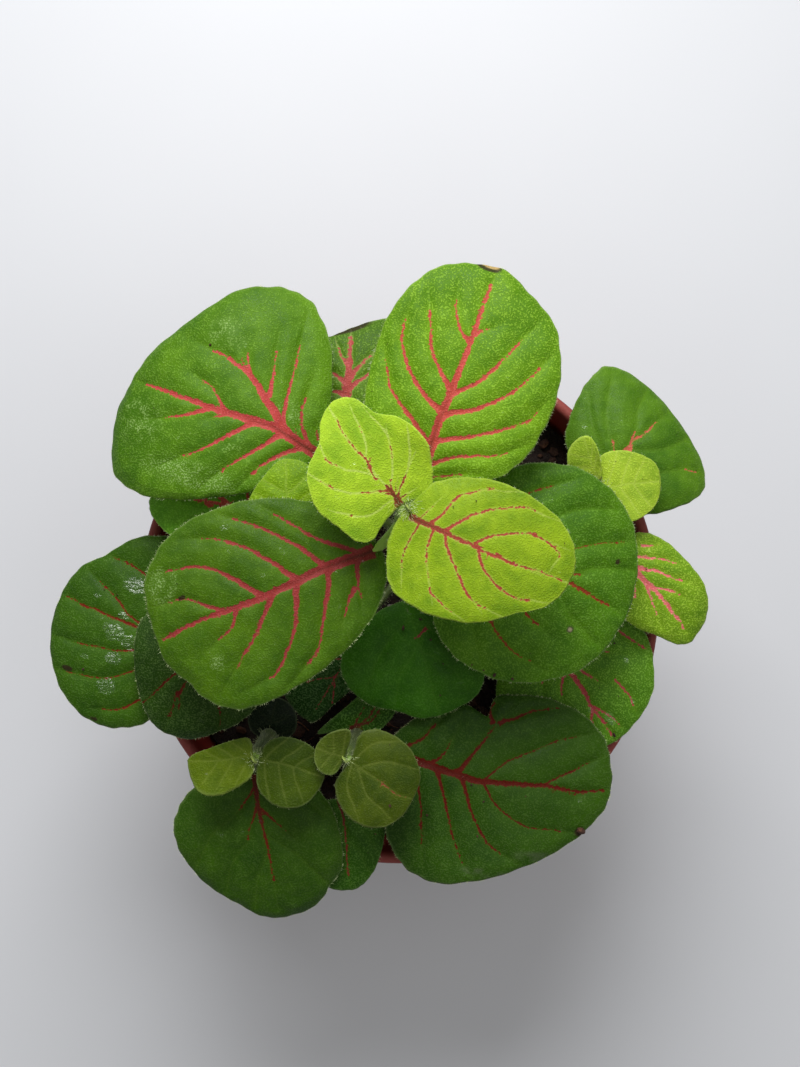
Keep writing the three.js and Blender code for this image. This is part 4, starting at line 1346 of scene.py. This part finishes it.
def makePot(finishes):
    look = potLook
    shell = bmesh.new()
    corners = [shell.verts.new((radius * mm, 0, height * mm)) for radius, height in potProfile(look)]
    edges = [shell.edges.new(pair) for pair in zip(corners, corners[1:])]
    bmesh.ops.spin(shell, geom=corners + edges, cent=(0, 0, 0), axis=(0, 0, 1), angle=fullTurn,
                   steps=look["steps"], use_merge=True, use_duplicate=False)
    bmesh.ops.remove_doubles(shell, verts=shell.verts, dist=0.001 * mm)
    bmesh.ops.recalc_face_normals(shell, faces=shell.faces)
    pot = pieceFrom(shell, "nurseryPot", finishes["pot"])
    drills = makeDrills(look, finishes["pot"])
    cut = pot.modifiers.new("holes", "BOOLEAN")
    cut.object = drills
    cut.solver = "EXACT"
    applyModifiers(pot)
    bpy.data.objects.remove(drills)
    pot.data.set_sharp_from_angle(angle=math.radians(look["smoothAngle"]))
    claim(pot, "pot")


leafTones = {
    "dark": (0.6, 0.68, 0.5, 1),         # these four are factors on the leaf's green
    "light": (1.6, 1.35, 1.3, 1),
    # sunk is painted shade in the gaps between the raised cells, raised is painted light on them
    "sunk": (0.85, 0.88, 0.85, 1),
    "raised": (1.2, 1.2, 1.4, 1),
    "paintedSheen": (0.6, 0.72, 0.4, 1),        # these three are mixed into it; the first is a painted sheen on the raised cells
    "cream": (0.62, 0.68, 0.2, 1),
    "rim": (0.5, 0.6, 0.32, 1),
    "deepRed": (0.6, 0.35, 0.36, 1),     # these two are factors on the veins' red
    "paleRed": (1.25, 1.9, 2.1, 1),
    "stalkRed": tint(104, 32, 28),       # the midrib close by the stalk
    # painted shade in the midrib's groove by the stalk
    "grooveShade": tint(80, 24, 22),
    "haze": tint(162, 190, 124),
    "fleck": tint(34, 30, 16),
    "brown": tint(44, 30, 18),
    "tan": tint(176, 150, 96),
    "ring": tint(70, 60, 45),
    "ringMiddle": tint(150, 140, 110),
    "grey": tint(80, 88, 66),
    "under": tint(138, 168, 104),
}

leafSurface = {
    "merge": 0.35,           # how softly veins that meet run together
    "redEdge": 0.16,         # over how many millimetres the red fades
    "creamEdge": 0.22,
    "haloReach": 0.9,        # how far beside the red the green is lighter
    "redTop": 0.94,          # share of the red that shows
    "redUnder": 0.3,
    "roughness": 0.48,
    "shine": 0.14,
    "relief": 0.06,          # height of the raised cells
    "wetRoughness": 0.14,
    "wetShine": 0.7,
    "wetRelief": 0.34,
}


def leafPatterns(finish):
    # from coarse to fine; papillae are the raised cells, uneven is how ragged the veins' edges are
    broad = finish.noise(8, 2)
    patchy = finish.noise(1.7, 3)
    dashes = finish.noise(0.9, 2)
    ragged = finish.noise(0.4, 3)
    fray = finish.attribute("fray")
    uneven = (ragged - 0.5) * (0.5 + fray * 0.5) + (patchy - 0.5) * 0.3 + (dashes - 0.52) * fray * 0.9
    return {
        "broad": broad,
        "patchy": patchy,
        "grain": finish.noise(0.3, 2),
        "papillae": ((finish.noise(0.27, 1) - 0.49) * 8).clamp(),
        "uneven": uneven,
    }


def veinMasks(finish, uneven):
    # 1 on the red of a vein; on its inner part; on the green beside it; and on its cream line
    look = leafSurface
    red = None
    cream = None
    for layer in range(bladeLook["veinLayers"]):
        away = abs(finish.attribute(f"veinDistance{layer}"))
        depth = finish.attribute(f"veinHalf{layer}") - away
        pale = finish.attribute(f"paleHalf{layer}") - away
        red = depth if red is None else red.math("SMOOTH_MAX", red, depth, look["merge"])
        cream = pale if cream is None else cream.math("MAXIMUM", cream, pale)
    cream = ((cream + uneven * 0.3) / look["creamEdge"] + 0.4).clamp()
    return {
        "red": ((red + uneven) / look["redEdge"] + 0.5).clamp(),
        "inner": ((red + uneven * 2) / 0.5).clamp(),
        "halo": ((red + look["haloReach"]) / (look["haloReach"] + 0.2)).clamp(),
        "cream": (cream * finish.attribute("pale")).clamp(),
    }


def leafGreen(finish, patterns, veins):
    # the green between the veins, stippled by its raised cells with painted light and sheen on them and
    # painted shade in the gaps between, and its light shade
    tones = leafTones
    broad, patchy, papillae = patterns["broad"], patterns["patchy"], patterns["papillae"]
    green = finish.attribute("bladeColour", "Color")
    dark = finish.times(green, tones["dark"])
    light = finish.times(green, tones["light"])
    shade = (broad - 0.5) * 1.5 + (patchy - 0.5) * 1.0 + 0.42
    # a fade below 0 is painted shade by the stalk
    shade = shade + (0.42 - finish.attribute("reach")) * finish.attribute("fade")
    colour = finish.blend(shade.clamp(), dark, light)
    stipple = finish.attribute("grain")
    dustAndSheenPatches = ((broad - 0.5) * 2.5 + (patchy - 0.5) * 3.5 + 0.45).clamp()
    # the stipple: painted shade in the gaps, painted light and sheen on the raised cells, in patches that
    # also carry the dust haze
    sunk = finish.times(dark, tones["sunk"])
    raised = finish.blend(0.07, finish.times(light, tones["raised"]), tones["paintedSheen"])
    colour = finish.blend((1 - papillae) * stipple * 0.5, colour, sunk)
    colour = finish.blend((papillae * stipple * (0.75 + dustAndSheenPatches * 0.45)).clamp(), colour, raised)
    haze = finish.attribute("haze") * (0.04 + papillae * 0.45) * (dustAndSheenPatches - 0.15).clamp()
    colour = finish.blend(haze.clamp(), colour, tones["haze"])
    colour = finish.blend(finish.attribute("groove") * 0.22, colour, light)
    colour = finish.blend(veins["cream"], colour, finish.blend(0.55, green, tones["cream"]))
    return finish.blend(veins["halo"] * 0.3, colour, light), light


def veinRed(finish, patterns, veins):
    tones = leafTones
    red = finish.attribute("veinColour", "Color")
    reach = finish.attribute("reach")
    deep = ((patterns["patchy"] - 0.3) * 1.2).clamp()
    colour = finish.blend(deep, red, finish.times(red, tones["deepRed"]))
    pale = patterns["papillae"] * 0.55 + (1 - veins["inner"]) * 0.2
    colour = finish.blend(pale, colour, finish.times(red, tones["paleRed"]))
    colour = finish.blend((1 - reach * 6).clamp() * 0.7, colour, tones["stalkRed"])
    # painted shade darkens the midrib's groove close by the stalk
    grooveShade = (1 - abs(finish.attribute("veinDistance0")) / 0.45).clamp() * (1.1 - reach * 2.4).clamp()
    return finish.blend(grooveShade * 0.85, colour, tones["grooveShade"])


def leafMarks(finish, colour, patchy):
    # flecks, dead and dirty places
    tones = leafTones
    flecks = finish.node("ShaderNodeTexVoronoi", {}, {"Vector": finish.place, "Scale": 0.3}, "Distance")
    brown = finish.attribute("brown") * (0.4 + patchy) * 2
    tan = finish.attribute("tan") * (0.5 + patchy) * 2
    ring = finish.attribute("ring")
    grey = finish.attribute("grey") * (patchy * 4 - 1.5)
    colour = finish.blend(((0.05 - flecks) * 30).clamp() * 0.7, colour, tones["fleck"])
    colour = finish.blend(brown.clamp() * 0.9, colour, tones["brown"])
    colour = finish.blend(tan.clamp(), colour, tones["tan"])
    colour = finish.blend((ring * 2).clamp() * 0.7, colour, tones["ring"])
    colour = finish.blend((ring * 4 - 2.6).clamp() * 0.8, colour, tones["ringMiddle"])
    return finish.blend(grey.clamp() * 0.45, colour, tones["grey"])


def leafFinish(name, isUnder):
    look = leafSurface
    finish = Finish(name)
    patterns = leafPatterns(finish)
    patchy, grain, papillae = patterns["patchy"], patterns["grain"], patterns["papillae"]
    veins = veinMasks(finish, patterns["uneven"])
    colour, light = leafGreen(finish, patterns, veins)
    shown = look["redUnder"] if isUnder else look["redTop"]
    colour = finish.blend(veins["red"] * shown, colour, veinRed(finish, patterns, veins))
    rim = finish.blend(0.16, light, leafTones["rim"])
    colour = finish.blend((1 - finish.attribute("edge") * 3).clamp() * 0.6, colour, rim)
    colour = leafMarks(finish, colour, patchy)
    rough = look["roughness"] + (grain - 0.5) * 0.25 + (patchy - 0.5) * 0.15
    normal = finish.bump(papillae + grain * 0.5 + (1 - veins["red"]) * 0.6, look["relief"])
    if isUnder:
        colour = finish.blend(0.35, colour, leafTones["under"])
    else:
        # water lies on the wet leaf in drawn out patches
        wet = (finish.attribute("wet") * 3 + (patchy - 0.5) * 7 - 1.3).clamp()
        ripples = finish.noise(0.75, 2, 0.4, finish.stretched((0.6, 1.3, 1)))
        film = finish.bump(ripples + papillae * 0.1, look["wetRelief"])
        finish.cover(wet, {"Base Color": colour, "Roughness": look["wetRoughness"],
                           "Specular IOR Level": look["wetShine"], "Normal": film})
    return finish.surface({"Base Color": colour, "Roughness": rough, "Normal": normal},
                          {"Specular IOR Level": look["shine"]})


stalkTones = {
    "green": tint(66, 92, 26),
    "brown": tint(74, 66, 32),
    # painted light on the stalks by the crown
    "young": tint(146, 190, 58),
    "pale": tint(124, 150, 66),
    "youngFrom": 82,         # stalks are painted lighter lime from this height on, over the next, as light on the stalks by the crown
    "youngOver": 9,
    "hair": (tint(180, 198, 124), tint(216, 225, 182)),
}


def stalkFinish():
    tones = stalkTones
    finish = Finish("stalk")
    fine = finish.noise(0.4, 3)
    # painted light: the stalks by the crown are lighter lime
    young = ((finish.height() - tones["youngFrom"]) / tones["youngOver"]).clamp()
    colour = finish.blend((finish.noise(5, 2) * 1.6 - 0.5).clamp(), tones["green"], tones["brown"])
    colour = finish.blend(young, colour, tones["young"])
    colour = finish.blend(fine * 0.3, colour, tones["pale"])
    normal = finish.bump(fine, 0.12)
    return finish.surface({"Base Color": colour, "Normal": normal}, {"Roughness": 0.5, "Sheen Weight": 0.2})


def hairFinish():
    finish = Finish("hair")
    colour = finish.blend(finish.noise(3, 1), *stalkTones["hair"])
    return finish.surface({"Base Color": colour}, {"Roughness": 0.4})


soilTones = {                # dark, light, and how much of it is dark
    "peat": (tint(32, 18, 12), tint(72, 43, 28), 0.5),
    "peatCrumb": (tint(56, 31, 19), tint(126, 78, 48), 0.46),
    "peatFibre": (tint(84, 48, 28), tint(140, 92, 56), 0.4),
    "peatGrain": (tint(110, 106, 98), tint(168, 162, 150), 0.4),
}


def soilFinish(name):
    dark, light, share = soilTones[name]
    finish = Finish(name)
    lumps = finish.noise(2.2, 5)
    fine = finish.noise(0.35, 4)
    colour = finish.blend(((lumps - share) * 3).clamp(), dark, light)
    colour = finish.blend((fine * 0.7).clamp(), colour, dark)
    normal = finish.bump(fine + lumps * 0.6, 0.5)
    rough = 0.75 + fine * 0.25
    return finish.surface({"Base Color": colour, "Normal": normal, "Roughness": rough}, {})


potTones = {
    "light": tint(130, 40, 31),
    "dark": tint(98, 27, 21),
    "streaks": tint(152, 84, 72),
    "dust": tint(172, 96, 90),
    "dirt": tint(48, 24, 18),
    "dustAndSheenFrom": 68.6,        # dust and a painted sheen lie on the lip, above this height
    "dustAndSheenOver": 1.4,
    "shine": 0.3,
}


def potFinish():
    tones = potTones
    finish = Finish("potPlastic")
    fine = finish.noise(0.7, 3)
    streaks = finish.noise(2.5, 4, 0.0, finish.stretched((1, 1, 0.12)))
    # dust and a painted sheen on the top of the lip
    dust = ((finish.height() - tones["dustAndSheenFrom"]) / tones["dustAndSheenOver"]).clamp() * (0.2 + fine * 0.8)
    dirt = ((finish.noise(1.3, 4) - 0.62) * 7).clamp()
    colour = finish.blend(finish.noise(16, 3) * 0.8, tones["light"], tones["dark"])
    colour = finish.blend(((streaks - 0.52) * 2.2).clamp() * 0.25, colour, tones["streaks"])
    colour = finish.blend((dust * 0.65).clamp(), colour, tones["dust"])
    colour = finish.blend(dirt * 0.5, colour, tones["dirt"])
    rough = 0.38 + fine * 0.22 + dust * 0.25
    normal = finish.bump(fine * 0.4 + streaks * 0.6, 0.08)
    return finish.surface({"Base Color": colour, "Roughness": rough, "Normal": normal},
                          {"Specular IOR Level": tones["shine"]})


def makeFinishes():
    return {
        "leafTop": leafFinish("leafTop", False),
        "leafUnder": leafFinish("leafUnder", True),
        "stalk": stalkFinish(),
        "hair": hairFinish(),
        "soil": soilFinish("peat"),
        "crumb": soilFinish("peatCrumb"),
        "fibre": soilFinish("peatFibre"),
        "grain": soilFinish("peatGrain"),
        "pot": potFinish(),
    }


# The stage is in metres.
stageLook = {
    "floorSize": 3.0,
    "floor": (tint(206, 208, 212), tint(190, 192, 196)),
    "world": 0.32,
    "worldColour": (1.0, 0.99, 0.97, 1),
    "aim": (0, 0, 0.08),     # where the lights point
    "key": {"place": (-0.03, 0.34, 0.42), "size": 0.3, "power": 2.9},
    "fill": {"place": (0.3, 0.1, 1.1), "size": 0.8, "power": 1.5},
}


def addLight(name, look):
    light = bpy.data.lights.new(name, "AREA")
    light.shape = "DISK"
    light.size = look["size"]
    light.energy = look["power"]
    lamp = bpy.data.objects.new(name, light)
    lamp.location = look["place"]
    lamp.rotation_euler = (Vector(stageLook["aim"]) - lamp.location).to_track_quat("-Z", "Y").to_euler()
    bpy.context.scene.collection.objects.link(lamp)


def addStage(look):
    floor = bmesh.new()
    bmesh.ops.create_grid(floor, x_segments=1, y_segments=1, size=look["floorSize"])
    finish = Finish("floorFinish")
    colour = finish.blend(finish.noise(60, 2) * 0.3, *look["floor"])
    piece = pieceFrom(floor, "floor", finish.surface({"Base Color": colour}, {"Roughness": 0.5}))
    for key in ("key", "fill"):
        addLight(key, look[key])
    world = bpy.data.worlds.new("world")
    world.use_nodes = True
    background = world.node_tree.nodes["Background"]
    background.inputs["Color"].default_value = look["worldColour"]
    background.inputs["Strength"].default_value = look["world"]
    bpy.context.scene.world = world
    bpy.context.scene.view_settings.view_transform = "Standard"


addCamera(cameraSetup)
addStage(stageLook)
print("camera and stage set")
finishes = makeFinishes()
print("finishes made")
makePot(finishes)
makeSoil(finishes)
print("pot and soil made")
for stemKey, stemPlan in leafyStems.items():
    makeLeafyStem(stemKey, stemPlan, finishes)
    print("leafy stem made:", stemKey)
peatSpecks = pieceFrom(specks, "leafSpecks", finishes["crumb"])
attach(peatSpecks, "root")
print("specks on the leaves made")
